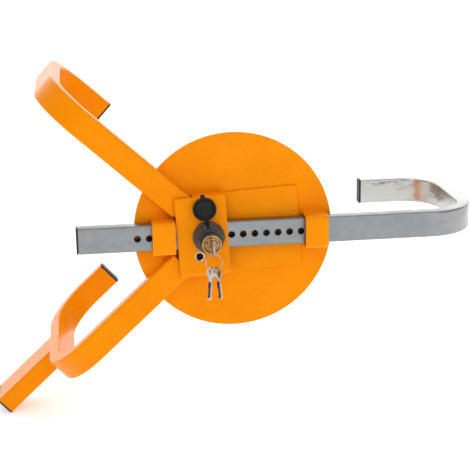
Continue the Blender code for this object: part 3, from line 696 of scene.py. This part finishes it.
def drill(x):
    """A cutter for one hole: a rod through both walls with a flare at the front face."""
    work = rod(HOLE_RADIUS, BAR_FRONT - 0.002, BAR_FRONT + TUBE_DEPTH + 0.002, x, 0.0, 40)
    near, far = BAR_FRONT - HOLE_FLARE, BAR_FRONT + HOLE_FLARE
    return join(work, rod(HOLE_RADIUS, near, far, x, 0.0, 40, HOLE_RADIUS + 2 * HOLE_FLARE))


def along_hook(point, inner, outer, depth, radius):
    """Distance along the tube, in its own frame, of a point on it."""
    past, first = point.x - outer + radius, outer - radius - inner
    quarter = pi / 2 * (radius - TUBE_DEPTH / 2)
    reach = first + quarter + depth - 2 * radius
    if past < 0:
        return point.x - inner if point.y < depth / 2 else reach + quarter - past
    if radius <= point.y < depth - radius:
        return first + quarter + point.y - radius
    start, level, begin = (first, radius, (0, -1)) if point.y < radius else (reach, depth - radius, (1, 0))
    turn = Vector((past, point.y - level)).angle_signed(Vector(begin), 0.0)
    return start + quarter * (turn % (2 * pi)) / (pi / 2)


def map_grain(work, inner, outer, depth, radius, origin):
    """Give a tube its UV map: U along it, V across it."""
    layer = work.loops.layers.uv.new("along_tube")
    for face in work.faces:
        for loop in face.loops:
            local = loop.vert.co - origin
            run = along_hook(local, inner, outer, depth, radius)
            loop[layer].uv = (run, local.z + abs(face.normal.z) * (local.y + local.x))
    return work


def steel_bar():
    work = hooked_tube(bar_low.x, bar_high.x, bar_depth, BAR_RETURN, BAR_BEND)
    origin = Vector((0.0, BAR_FRONT, 0.0))
    carry(work, Matrix.Translation(origin))
    for number in HOLE_NUMBERS:
        work = cut(work, drill(LOCK_X + number * HOLE_PITCH))
    map_grain(work, bar_low.x, bar_high.x, bar_depth, BAR_BEND, origin)
    return settle("steel_bar", work, BAR_STEEL, "bar", ["sliding_bar"], 30.0)


report(steel_bar())

# %% [markdown]
# ## Plugs in the tube ends
# Each open end holds a push-in plastic plug. What shows is a lip as wide as the tube, slightly domed. It
# starts as a rounded plate and its outer edge is bevelled twice as far as sheet metal's would be.

# %% End plugs
LIP, LIP_EDGE = 0.0022, 0.0009
PLUG_LENGTH = 0.009


def end_plug(name, node, body, width, depth, place):
    """A lip and a plug; in its own frame X points out of the tube."""
    work = bmesh.new()
    lip = rounded_face(work, width, depth, TUBE_CORNER)
    carry(work, Matrix.Translation((GAP, -depth / 2, 0.0)))
    straight(work, lip, (LIP, 0.0, 0.0))
    face_out(work)
    outer = [edge for edge in work.edges if all(end.co.x > GAP + LIP / 2 for end in edge.verts)]
    bevel(work, outer, LIP_EDGE, 4)
    reach, half = width / 2 - TUBE_WALL - GAP, depth / 2 - TUBE_WALL - GAP
    work = join(work, block((-PLUG_LENGTH, -half, -reach), (GAP + LIP / 2, half, reach)))
    return settle(name, carry(work, place), PLASTIC, body, [node])


def tube_end(along, across, point):
    """Frame of a tube's end: X out of the tube, Z across it."""
    return Matrix.Translation(point) @ axes(along, across.cross(along), across)


def arm_plug(node, side):
    along, across = arm_directions(side)
    back = Vector((0.0, ARM_FRONT + ARM_DEPTH - TUBE_DEPTH / 2, 0.0))
    point = Vector((ARM_APEX, 0.0, 0.0)) + along * (ARM_OUTER - ARM_RETURN) + back
    place = tube_end(-along, across, point)
    return end_plug(node + "_plug", node, "frame", TUBE_WIDTH, TUBE_DEPTH, place)


def leg_plug():
    along, across = arm_directions(-1)
    point = Vector((ARM_APEX, (leg_low.y + leg_high.y) / 2, 0.0)) + along * (ARM_OUTER + GAP + LEG_LENGTH)
    place = tube_end(along, across, point)
    return end_plug("ground_leg_plug", "ground_leg_cap", "frame", LEG_WIDTH, LEG_DEPTH, place)


def bar_plug(node, x, y):
    place = tube_end(Vector((-1, 0, 0)), Vector((0, 0, 1)), Vector((x, y, 0.0)))
    return end_plug(node + "_plug", node, "bar", TUBE_WIDTH, TUBE_DEPTH, place)


report(arm_plug("upper_arm_cap", 1), arm_plug("lower_arm_cap", -1), leg_plug())
report(bar_plug("bar_inner_cap", bar_low.x, BAR_FRONT + TUBE_DEPTH / 2))
report(bar_plug("bar_hook_cap", bar_high.x - BAR_RETURN, bar_high.y - TUBE_DEPTH / 2))

# %% [markdown]
# ## The lock's collar
# The collar is a turned boss. Its outline is drawn once, as points of radius and depth, and spun about
# the lock's axis. Every hard corner of the turned shape is then given a small bevel, which is what
# catches the light on dark metal.

# %% Lock collar
TURNED_SHARP = 25.0
COLLAR_NOSE = 0.0146
COLLAR_BORE, COLLAR_MOUTH = 0.0133, 0.0122


def lock_collar():
    front, base = collar_low.y, collar_high.y
    bore, mouth, nose, outer = COLLAR_BORE, COLLAR_MOUTH, COLLAR_NOSE, collar_high.x - LOCK_X
    lip, cone, step = front + 0.0025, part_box("cap_band")[1].y + 0.0010, base - 0.0060
    profile = [
        (mouth, front), (nose, front), (nose, cone), (nose + 0.001, cone + 0.0016), (0.0168, step - 0.0009),
        (0.0172, step), (outer - 0.001, step), (outer, step + 0.0012), (outer, base),
        (bore, base), (bore, lip), (mouth, lip),
    ]
    work = rounded(lathe(profile, LOCK_X, 0.0, True), 0.0003, 2, TURNED_SHARP)
    return settle("turned_collar", work, DARK_ZINC, "frame", ["lock_collar"])


report(lock_collar())

# %% [markdown]
# ## The barrel, its brass ring and its plug
# The barrel is what the hand pushes in. It is dark outside, and its face is a brass ring round a dished
# bronze disc. Both finishes are on one mesh: a face of the mesh picks its finish by its material index.
# The plug in the middle turns with the key, and the key way is cut into it with a Boolean.

# %% Barrel and plug
BARREL_RADIUS, BARREL_FLANGE = 0.012, 0.0131
SPRING_POCKET, PIN_RADIUS = 0.0064, 0.0037
FACE_RADIUS, RING_WIDTH, RING_THICK = 0.0112, 0.001, 0.0012
PLUG_RADIUS, PLUG_DEPTH = 0.006, 0.0074
KEY_WAY = (0.0012, 0.0035)


def lock_barrel():
    back = barrel_high.y
    flange, pocket, seat = back - 0.0038, back - 0.009, LOCK_FACE + PLUG_DEPTH + 0.0002
    hole, ring, pin = PLUG_RADIUS + 0.0002, FACE_RADIUS - RING_WIDTH, PIN_RADIUS
    profile = [
        (0.0, seat), (hole, seat), (hole, LOCK_FACE + 0.0002), (hole + 0.0009, LOCK_FACE + 0.0008),
        (ring - 0.0016, LOCK_FACE + 0.0008), (ring - 0.0004, LOCK_FACE + 0.0003), (ring, LOCK_FACE + 0.0003),
        (ring, LOCK_FACE + RING_THICK), (FACE_RADIUS + GAP, LOCK_FACE + RING_THICK),
        (FACE_RADIUS + GAP, LOCK_FACE + 0.0004), (BARREL_RADIUS - 0.0004, LOCK_FACE + 0.0006),
        (BARREL_RADIUS, LOCK_FACE + 0.0012), (BARREL_RADIUS, flange), (BARREL_FLANGE, flange),
        (BARREL_FLANGE, back), (SPRING_POCKET, back), (SPRING_POCKET, pocket), (pin, pocket),
        (pin, pocket - 0.0012), (0.0, pocket - 0.0012),
    ]
    work = rounded(lathe(profile, LOCK_X, 0.0), 0.00012, 2, TURNED_SHARP)
    for face in work.faces:
        middle = face.calc_center_median()
        on_face = middle.y < LOCK_FACE + RING_THICK and (middle.xz - Vector((LOCK_X, 0.0))).length < ring
        face.material_index = 1 if on_face else 0
    return settle("turned_barrel", work, DARK_ZINC, "barrel", ["lock_barrel"], second=BRONZE)


def hoop(inner, outer, front, back):
    """A plain ring about the lock's axis."""
    return lathe([(inner, front), (outer, front), (outer, back), (inner, back)], LOCK_X, 0.0, True)


def brass_ring():
    low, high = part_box("barrel_face_ring")
    inner = FACE_RADIUS - RING_WIDTH + GAP / 2
    work = rounded(hoop(inner, FACE_RADIUS, low.y, high.y), 0.0002, 3, TURNED_SHARP)
    return settle("bright_ring", work, BRASS, "barrel", ["barrel_face_ring"])


def key_plug():
    low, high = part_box("lock_plug")
    work = rounded(rod(PLUG_RADIUS, low.y, high.y, LOCK_X, 0.0, 64), 0.0004, 3, 50.0)
    wide, tall = KEY_WAY
    way = block((LOCK_X - wide, low.y - CUT_PAST, -tall), (LOCK_X + wide, high.y - 0.0009, tall))
    return settle("key_plug", cut(work, way), BRONZE, "plug", ["lock_plug"])


report(lock_barrel(), brass_ring(), key_plug())

# %% [markdown]
# ## Keys and their ring
# A key is a flat blank: a round bow with a hole, a short shank and a notched blade. It is stamped here
# from a disc and a strip that are joined, then drilled and notched with Booleans, and its edges are
# broken with a bevel. The floor of the milled groove along the blade takes a second, near-black finish,
# which is painted shade that makes the blade look dark.

# %% Keys
KEY_THICK = 0.0018
KEY_HOLE = 0.003
GROOVE_RIM, GROOVE_DEPTH = 0.0006, 0.0004
NOTCH_PITCH, NOTCH_WIDTH = 0.0022, 0.0014


def stamped_key(bow, hole_at, shank, blade_from, tip, neck, blade, notches):
    """A key in its own frame: bow at the origin, blade along X, flat in X and Y."""
    half = KEY_THICK / 2
    work = join(peg(bow, KEY_THICK, 64), block((shank, -neck, -half), (blade_from + 0.001, neck, half)))
    strip = block((blade_from, -blade, -half), (tip, blade, half))
    nose = [edge for edge in strip.edges if all(end.co.x > tip - 0.0001 for end in edge.verts)]
    nose = [edge for edge in nose if abs(edge.verts[0].co.z - edge.verts[1].co.z) > half]
    bevel(strip, nose, blade * 0.7, 1)
    work = join(work, strip)
    work = cut(work, carry(peg(KEY_HOLE, 4 * half + 0.002, 48), Matrix.Translation((*hole_at, 0.0))))
    for number in range(notches):
        notch = bmesh.new()
        bmesh.ops.create_cube(notch, size=1.0)
        x = tip - blade - NOTCH_PITCH / 2 - NOTCH_PITCH * number
        depth = blade * (0.45 + 0.3 * (number % 2))
        size = Matrix.Diagonal((NOTCH_WIDTH, 2 * depth, 0.01, 1.0))
        place = Matrix.Translation((x, blade, 0.0)) @ size @ Matrix.Rotation(pi / 4, 4, "Z")
        work = cut(work, carry(notch, place))
    wide = blade - GROOVE_RIM
    for side in (-1, 1):
        low, high = sorted((side * (half - GROOVE_DEPTH), side * (half + 0.001)))
        work = cut(work, block((blade_from - 0.002, -wide, low), (tip - blade * 0.8, wide, high)))
    rounded(work, 0.00015, 2, 50.0)
    # The groove floor faces take the near-black second finish: painted shade that darkens the blade.
    for face in work.faces:
        shaded_groove_floor = abs(face.calc_center_median().z) < half - GROOVE_DEPTH * 0.9
        face.material_index = 1 if shaded_groove_floor and abs(face.normal.z) > 0.9 else 0
    return work


LOCK_KEY_NECK, LOCK_KEY_BLADE, LOCK_KEY_HOLE_Z = 0.0035, 0.0031, -0.0048


def working_key():
    low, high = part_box("key_in_lock")
    bow = (high.z - low.z) / 2
    centre = low.y + bow
    reach = high.y - centre
    ring_low, ring_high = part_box("key_ring")
    hole_y = (ring_low.y + ring_high.y) / 2 - centre
    blade_from = LOCK_FACE - centre - 0.0015
    hole = (hole_y, LOCK_KEY_HOLE_Z)
    work = stamped_key(bow, hole, bow * 0.5, blade_from, reach, LOCK_KEY_NECK, LOCK_KEY_BLADE, 0)
    place = Matrix(((0, 0, 1, LOCK_X), (1, 0, 0, centre), (0, 1, 0, 0), (0, 0, 0, 1)))
    # The second finish, dark zinc, is painted shade on the groove floor.
    return settle("working_key", carry(work, place), NICKEL, "plug", ["key_in_lock"], second=DARK_ZINC)


report(working_key())

# %% [markdown]
# ## The spare keys and the ring
# The two spares hang from the ring's lowest stretch, a little apart and turned, as loose keys do. The
# ring itself is a split ring: two turns of flat wire that lie against each other, made as a slow helix
# swept by a small round section.

# %% Spare keys and ring
ring_low, ring_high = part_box("key_ring")
RING_Y = (ring_low.y + ring_high.y) / 2
RING_WIRE = (ring_high.y - ring_low.y) / 2
RING_RADIUS = (ring_high.x - ring_low.x) / 2 - RING_WIRE
RING_Z = (ring_low.z + ring_high.z) / 2
SPARE_SPREAD, SPARE_TILT, SPARE_TURN = radians(22.0), radians(5.0), radians(30.0)
SPARE_BOW, SPARE_LENGTH, SPARE_HANG = 0.007, 0.0395, 0.001
SPARE_BLADE_LENGTH, SPARE_NECK, SPARE_BLADE, SPARE_NOTCHES = 0.027, 0.0022, 0.0032, 5


def spare_key(node, side):
    wire = Vector((
        LOCK_X + side * RING_RADIUS * sin(SPARE_SPREAD), RING_Y, RING_Z - RING_RADIUS * cos(SPARE_SPREAD)
    ))
    hole = SPARE_BOW - KEY_HOLE - 0.0016
    tip, start = SPARE_LENGTH - SPARE_BOW, SPARE_LENGTH - SPARE_BLADE_LENGTH
    sizes = (start, tip, SPARE_NECK, SPARE_BLADE, SPARE_NOTCHES)
    work = stamped_key(SPARE_BOW, (-hole, 0.0), SPARE_BOW * 0.5, *sizes)
    turn = Matrix.Rotation(-side * SPARE_TILT, 4, "Y") @ Matrix.Rotation(SPARE_TURN, 4, "Z")
    down = Matrix(((0, 0, 1, 0), (0, 1, 0, 0), (-1, 0, 0, 0), (0, 0, 0, 1)))
    place = Matrix.Translation(wire) @ turn @ down @ Matrix.Translation((hole + SPARE_HANG, 0.0, 0.0))
    # The second finish, black plastic, is painted shade on the groove floor.
    return settle(node + "_blank", carry(work, place), NICKEL, node, [node], second=PLASTIC)


def split_ring():
    """Two turns of thin wire side by side."""
    work = bmesh.new()
    thin = RING_WIRE / 2
    bmesh.ops.create_circle(work, cap_ends=True, segments=10, radius=thin)
    carry(work, Matrix.Translation((LOCK_X + RING_RADIUS, RING_Y - thin, RING_Z)))
    bmesh.ops.spin(
        work, geom=work.faces[:], cent=(LOCK_X, RING_Y, RING_Z), axis=(0, 1, 0), dvec=(0, thin / 96, 0),
        angle=4 * pi, steps=192, use_merge=False,
    )
    return settle("split_ring", work, NICKEL, "ring", ["key_ring"])


report(spare_key("spare_key_left", -1), spare_key("spare_key_right", 1), split_ring())

# %% [markdown]
# ## The weather cap and its band
# A rubber cap folds over the lock's face to keep rain out. It is shown folded up. The cup is turned, then
# a tab and a hinge strap are joined on. A band round the collar holds the hinge pin between two ears.

# %% Weather cap
CAP_TILT = radians(8.0)
CAP_HINGE = 0.0182
band_low, band_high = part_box("cap_band")
BAND_Y = (band_low.y + band_high.y) / 2
CAP_RADIUS, CAP_WALL, CAP_DEPTH = 0.014, 0.0016, 0.0045
BAND_RADIUS = 0.0159
EAR_INNER, EAR_OUTER = 0.0026, 0.0046
HINGE_BORE, HINGE_PIN = 0.001, 0.0007
STRAP = 0.0015


def cap_frame():
    lean = Matrix.Translation((LOCK_X, BAND_Y, 0.0)) @ Matrix.Rotation(-CAP_TILT, 4, "Y")
    return lean @ Matrix.Translation((0.0, 0.0, CAP_HINGE))


def hinge_rod(radius, half):
    return carry(peg(radius, 2 * half, 32), Matrix.Rotation(pi / 2, 4, "Y"))


def weather_cap():
    front = -(collar_low.y - BAND_Y) + GAP
    back = front + CAP_DEPTH
    wall, floor = CAP_RADIUS - CAP_WALL, back - CAP_WALL
    profile = [
        (0.0, floor - 0.0006), (0.003, floor - 0.0006), (0.0036, floor), (wall - 0.0036, floor),
        (wall - 0.003, floor - 0.0006), (wall - 0.002, floor - 0.0006), (wall - 0.0014, floor),
        (wall, floor - 0.0012), (wall, front), (CAP_RADIUS, front), (CAP_RADIUS, back - 0.0012),
        (CAP_RADIUS - 0.0012, back), (0.0, back),
    ]
    work = lathe(profile, 0.0, CAP_HINGE)
    top, root, half = CAP_HINGE + CAP_RADIUS, CAP_HINGE - CAP_RADIUS + 0.001, EAR_INNER - GAP
    tab = block((-0.0025, back - 0.003, top - 0.001), (0.0025, back - 0.001, top + 0.0035))
    strap = block((-half, -STRAP, -STRAP), (half, back - 0.0005, STRAP))
    riser = block((-half, front + 0.0005, 0.0), (half, back - 0.0005, root))
    for part in (tab, strap, riser):
        work = join(work, part)
    work = cut(work, hinge_rod(HINGE_BORE, half + 0.002))
    rounded(work, 0.0003, 2, 45.0)
    return settle("rubber_cap", carry(work, cap_frame()), RUBBER, "weather_cap", ["weather_cap"])


def hinge_band():
    work = hoop(COLLAR_NOSE + GAP, BAND_RADIUS, band_low.y, band_high.y)
    half = (band_high.y - band_low.y) / 2 - GAP
    for side in (-1, 1):
        near, far = sorted((side * EAR_INNER, side * EAR_OUTER))
        ear = block((near, -half, BAND_RADIUS - 0.0005 - CAP_HINGE), (far, half, STRAP))
        work = join(work, carry(ear, cap_frame()))
    bore = carry(hinge_rod(HINGE_BORE, EAR_OUTER + 0.002), cap_frame())
    work = rounded(cut(work, bore), 0.0002, 2, 45.0)
    return settle("hinge_band", work, DARK_ZINC, "frame", ["cap_band"])


def hinge_pin():
    work = rounded(hinge_rod(HINGE_PIN, EAR_OUTER), 0.0002, 2, 50.0)
    return settle("hinge_pin", carry(work, cap_frame()), NICKEL, "frame", ["cap_hinge_pin"])


report(weather_cap(), hinge_band(), hinge_pin())

# %% [markdown]
# ## The bolt in the recess
# Beside the lock a round recess shows the head of the bolt that holds the housing, at the bottom of a
# bright sleeve. Behind the disc the same bolt ends in a nut.

# %% Bolt, sleeve and nut
NUT_RADIUS, NUT_BORE = 0.0055, 0.0033
BOLT_SHANK, BOLT_HEAD, BOLT_HEAD_DEPTH = 0.003, 0.0047, 0.003
SLEEVE_BORE, SLEEVE_NECK, SLEEVE_RADIUS = 0.0054, 0.0057, 0.0072


def bright_sleeve():
    low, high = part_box("bolt_sleeve")
    mouth = housing_low.y + 0.0004
    profile = [
        (0.0044, mouth + 0.0007), (0.0053, mouth), (SLEEVE_NECK, mouth), (SLEEVE_NECK, low.y),
        (SLEEVE_RADIUS, low.y), (SLEEVE_RADIUS, high.y), (SLEEVE_BORE, high.y), (SLEEVE_BORE, low.y + 0.0015),
        (0.0047, low.y),
    ]
    work = rounded(lathe(profile, BOLT_X, BOLT_Z, True, 64), 0.0002, 2, TURNED_SHARP)
    return settle("bright_sleeve", work, BRIGHT_ZINC, "frame", ["bolt_sleeve"])


def domed_bolt():
    low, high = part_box("housing_bolt")
    seat = low.y + BOLT_HEAD_DEPTH
    profile = [
        (0.0, low.y), (0.0018, low.y), (0.0034, low.y + 0.0005), (0.0044, low.y + 0.0015),
        (BOLT_HEAD, seat), (BOLT_SHANK, seat), (BOLT_SHANK, high.y - 0.0005),
        (BOLT_SHANK - 0.0005, high.y), (0.0, high.y),
    ]
    work = lathe(profile, BOLT_X, BOLT_Z, False, 48)
    return settle("domed_bolt", work, DARK_ZINC, "frame", ["housing_bolt"])


def hexagon_nut():
    low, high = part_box("housing_nut")
    work = rod(NUT_RADIUS, low.y, high.y, BOLT_X, BOLT_Z, 6)
    work = cut(work, rod(NUT_BORE, low.y - CUT_PAST, high.y + CUT_PAST, BOLT_X, BOLT_Z, 40))
    rounded(work, 0.0003, 2, SHEET_SHARP)
    return settle("hexagon_nut", work, SPRING_STEEL, "frame", ["housing_nut"])


report(bright_sleeve(), domed_bolt(), hexagon_nut())

# %% [markdown]
# ## The return spring
# The spring pushes the barrel out again. Its front end travels with the barrel and its back end stays, so
# a rigid spring would run through the bush. It is wound as a helix, a round section spun about the lock's
# axis while it also moves along it, and it rides on the barrel whole.

# %% Return spring
SPRING_WIRE = 0.0005
SPRING_TURNS, TURN_STEPS = 6, 40


def coil_spring():
    low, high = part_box("pin_spring")
    length, steps = high.y - low.y, SPRING_TURNS * TURN_STEPS
    radius = high.x - LOCK_X - SPRING_WIRE
    rise = (length - 4 * SPRING_WIRE) / steps
    work = bmesh.new()
    bmesh.ops.create_circle(work, cap_ends=True, segments=12, radius=SPRING_WIRE)
    carry(work, Matrix.Translation((LOCK_X + radius, low.y + 2 * SPRING_WIRE, 0.0)))
    bmesh.ops.spin(
        work, geom=work.faces[:], cent=(LOCK_X, 0, 0), axis=(0, 1, 0), dvec=(0, rise, 0),
        angle=2 * pi * SPRING_TURNS, steps=steps, use_merge=False,
    )
    piece = settle("coil_spring", work, SPRING_STEEL, "barrel", ["pin_spring"])
    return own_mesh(piece)


print(coil_spring().name, "made")

# %% [markdown]
# ## Pieces that keep their working shape
# The locking pin and its bush are hardly seen, and their working shapes are right. They only get their
# finish.

# %% Finishes on the carried-over pieces
for node, look in (("locking_pin", SPRING_STEEL), ("pin_bush", BRASS)):
    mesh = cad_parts[node].data
    mesh.materials.clear()
    mesh.materials.append(look)
print("finished the pin and its bush")

# %% [markdown]
# ## Weld beads
# The arms and guides are welded to the disc before they are painted. A bead is a row of small overlapping
# ripples. One long rod is divided along its length, and each ring of points is swelled and narrowed by a
# sine, which gives the ripples without hundreds of separate blobs.

# %% Weld beads
RIPPLE, RIPPLE_SWELL = 0.0022, 0.13
GUIDE_BEAD, GUIDE_BEAD_INSET = 0.0016, 0.002
ARM_BEAD, ARM_BEAD_FROM, ARM_BEAD_TO = 0.0018, 0.066, 0.092


def weld_bead(name, start, end, radius):
    """A rippled bead between two points."""
    start, end = Vector(start), Vector(end)
    length = (end - start).length
    work = peg(radius, length, 12)
    rails = [edge for edge in work.edges if abs(edge.verts[0].co.z - edge.verts[1].co.z) > length / 2]
    bmesh.ops.subdivide_edges(work, edges=rails, cuts=int(length / RIPPLE * 5))
    for vert in work.verts:
        reach = min(1.0, max(0.0, (length / 2 - abs(vert.co.z)) / radius))
        swell = (0.3 + 0.7 * reach ** 0.5) * (1.0 + RIPPLE_SWELL * abs(sin(pi * vert.co.z / RIPPLE)))
        vert.co.x *= swell
        vert.co.y *= swell
    turn = (end - start).to_track_quat("Z", "Y").to_matrix().to_4x4()
    return settle(name, carry(work, Matrix.Translation((start + end) / 2) @ turn), ORANGE, "frame")


def guide_beads():
    for node in ("bar_guide_left", "bar_guide_right"):
        low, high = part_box(node)
        for side, z in (("top", high.z), ("bottom", low.z)):
            start = (low.x + GUIDE_BEAD_INSET, disc_low.y, z)
            end = (high.x - GUIDE_BEAD_INSET, disc_low.y, z)
            report(weld_bead(f"weld_{node}_{side}", start, end, GUIDE_BEAD))


def arm_beads():
    for label, side in (("upper", 1), ("lower", -1)):
        along, across = arm_directions(side)
        for edge in (-1, 1):
            line = Vector((ARM_APEX, disc_low.y, 0.0)) + across * edge * TUBE_WIDTH / 2
            name = f"weld_{label}_arm_{'near' if edge * side > 0 else 'far'}"
            start, end = line + along * ARM_BEAD_FROM, line + along * ARM_BEAD_TO
            report(weld_bead(name, start, end, ARM_BEAD))


guide_beads()
arm_beads()

# %% [markdown]
# ## Floor, light and world
# The clamp stands in a plain white studio. The floor is large enough to fill the view. The key light is a
# big soft panel from the upper left, and a second panel fills from the front. The world adds a glow that
# is bright overhead and behind, and dim low down in front: bare steel looks like steel only when it has
# both to reflect.

# %% Studio
FLOOR_HALF, FLOOR_DROP, FLOOR_GLOW = 20.0, 0.0005, 0.32
CENTRE = (0.0, 0.0, 0.0)
WHITE = (1.0, 1.0, 1.0, 1.0)


def studio_floor():
    work = bmesh.new()
    bmesh.ops.create_grid(work, x_segments=1, y_segments=1, size=FLOOR_HALF)
    carry(work, Matrix.Translation((0.0, 0.0, cad_low.z - FLOOR_DROP)))
    mesh = bpy.data.meshes.new("studio_floor")
    work.to_mesh(mesh)
    work.free()
    made = finish("studio_white", roughness=0.9, specular=0.1)
    dress(made, {"Emission Color": WHITE, "Emission Strength": FLOOR_GLOW})
    cloud = spread(made, noise(made, 1.5, 2.0), 0.0, 1.0)
    color = two_tone(made, cloud, (0.93, 0.93, 0.93), (0.9, 0.9, 0.9))
    mesh.materials.append(plug_in(made, color))
    floor = shown("studio_floor", mesh)
    return floor


def panel(name, place, target, size, power):
    """A square soft light that faces a point."""
    light = bpy.data.lights.new(name, "AREA")
    light.size = size
    light.energy = power
    lamp = shown(name, light)
    lamp.location = place
    lamp.rotation_euler = (Vector(target) - Vector(place)).to_track_quat("-Z", "Y").to_euler()
    return lamp


def studio_world():
    """A glow that is brightest overhead and behind the clamp, and dim along the horizon in front of it."""
    world = bpy.data.worlds.new("studio_world")
    world.use_nodes = True
    facing = add_node(world, "SeparateXYZ", {"Vector": add_node(world, "TexCoord").outputs["Generated"]})
    overhead = spread(world, facing.outputs["Z"], 0.45, 1.05, 0.0, 0.9)
    behind = spread(world, facing.outputs["Y"], 0.8, 3.0, 0.2, 1.0)
    glow = times(world, overhead, behind)
    fill(world, world.node_tree.nodes["Background"], {"Color": WHITE, "Strength": glow})
    bpy.context.scene.world = world


studio_floor()
panel("key_panel", (-1.3, -2.1, 1.9), CENTRE, 1.0, 13.0)
panel("fill_panel", (0.8, -2.4, 0.9), CENTRE, 1.5, 10.0)
studio_world()
bpy.context.scene.view_settings.view_transform = "Standard"
print("studio ready")

# %% [markdown]
# ## Camera
# The camera looks down at the clamp a little from its left, through a long lens: from far off, a long
# lens keeps parallel edges nearly parallel. It aims at a point just below the middle of the disc and is
# rolled by about a degree.

# %% Camera
CAMERA_AZIMUTH = radians(-7.08)
CAMERA_HEIGHT = radians(15.64)
CAMERA_ROLL = radians(-0.99)
CAMERA_DISTANCE = 1.536
CAMERA_LENS = 97.45
CAMERA_AIM = Vector((0.0019, disc_low.y, -0.0062))


def studio_camera():
    level = cos(CAMERA_HEIGHT)
    away = Vector((sin(CAMERA_AZIMUTH) * level, -cos(CAMERA_AZIMUTH) * level, sin(CAMERA_HEIGHT)))
    data = bpy.data.cameras.new("studio_camera")
    data.lens = CAMERA_LENS
    data.sensor_width = 36.0
    camera = shown("studio_camera", data)
    right = (-away).cross(Vector((0, 0, 1))).normalized()
    up = right.cross(-away)
    place = Matrix.Translation(CAMERA_AIM + away * CAMERA_DISTANCE)
    camera.matrix_world = place @ axes(right, up, away) @ Matrix.Rotation(CAMERA_ROLL, 4, "Z")
    bpy.context.scene.camera = camera
    return camera


studio_camera()
print("camera ready")
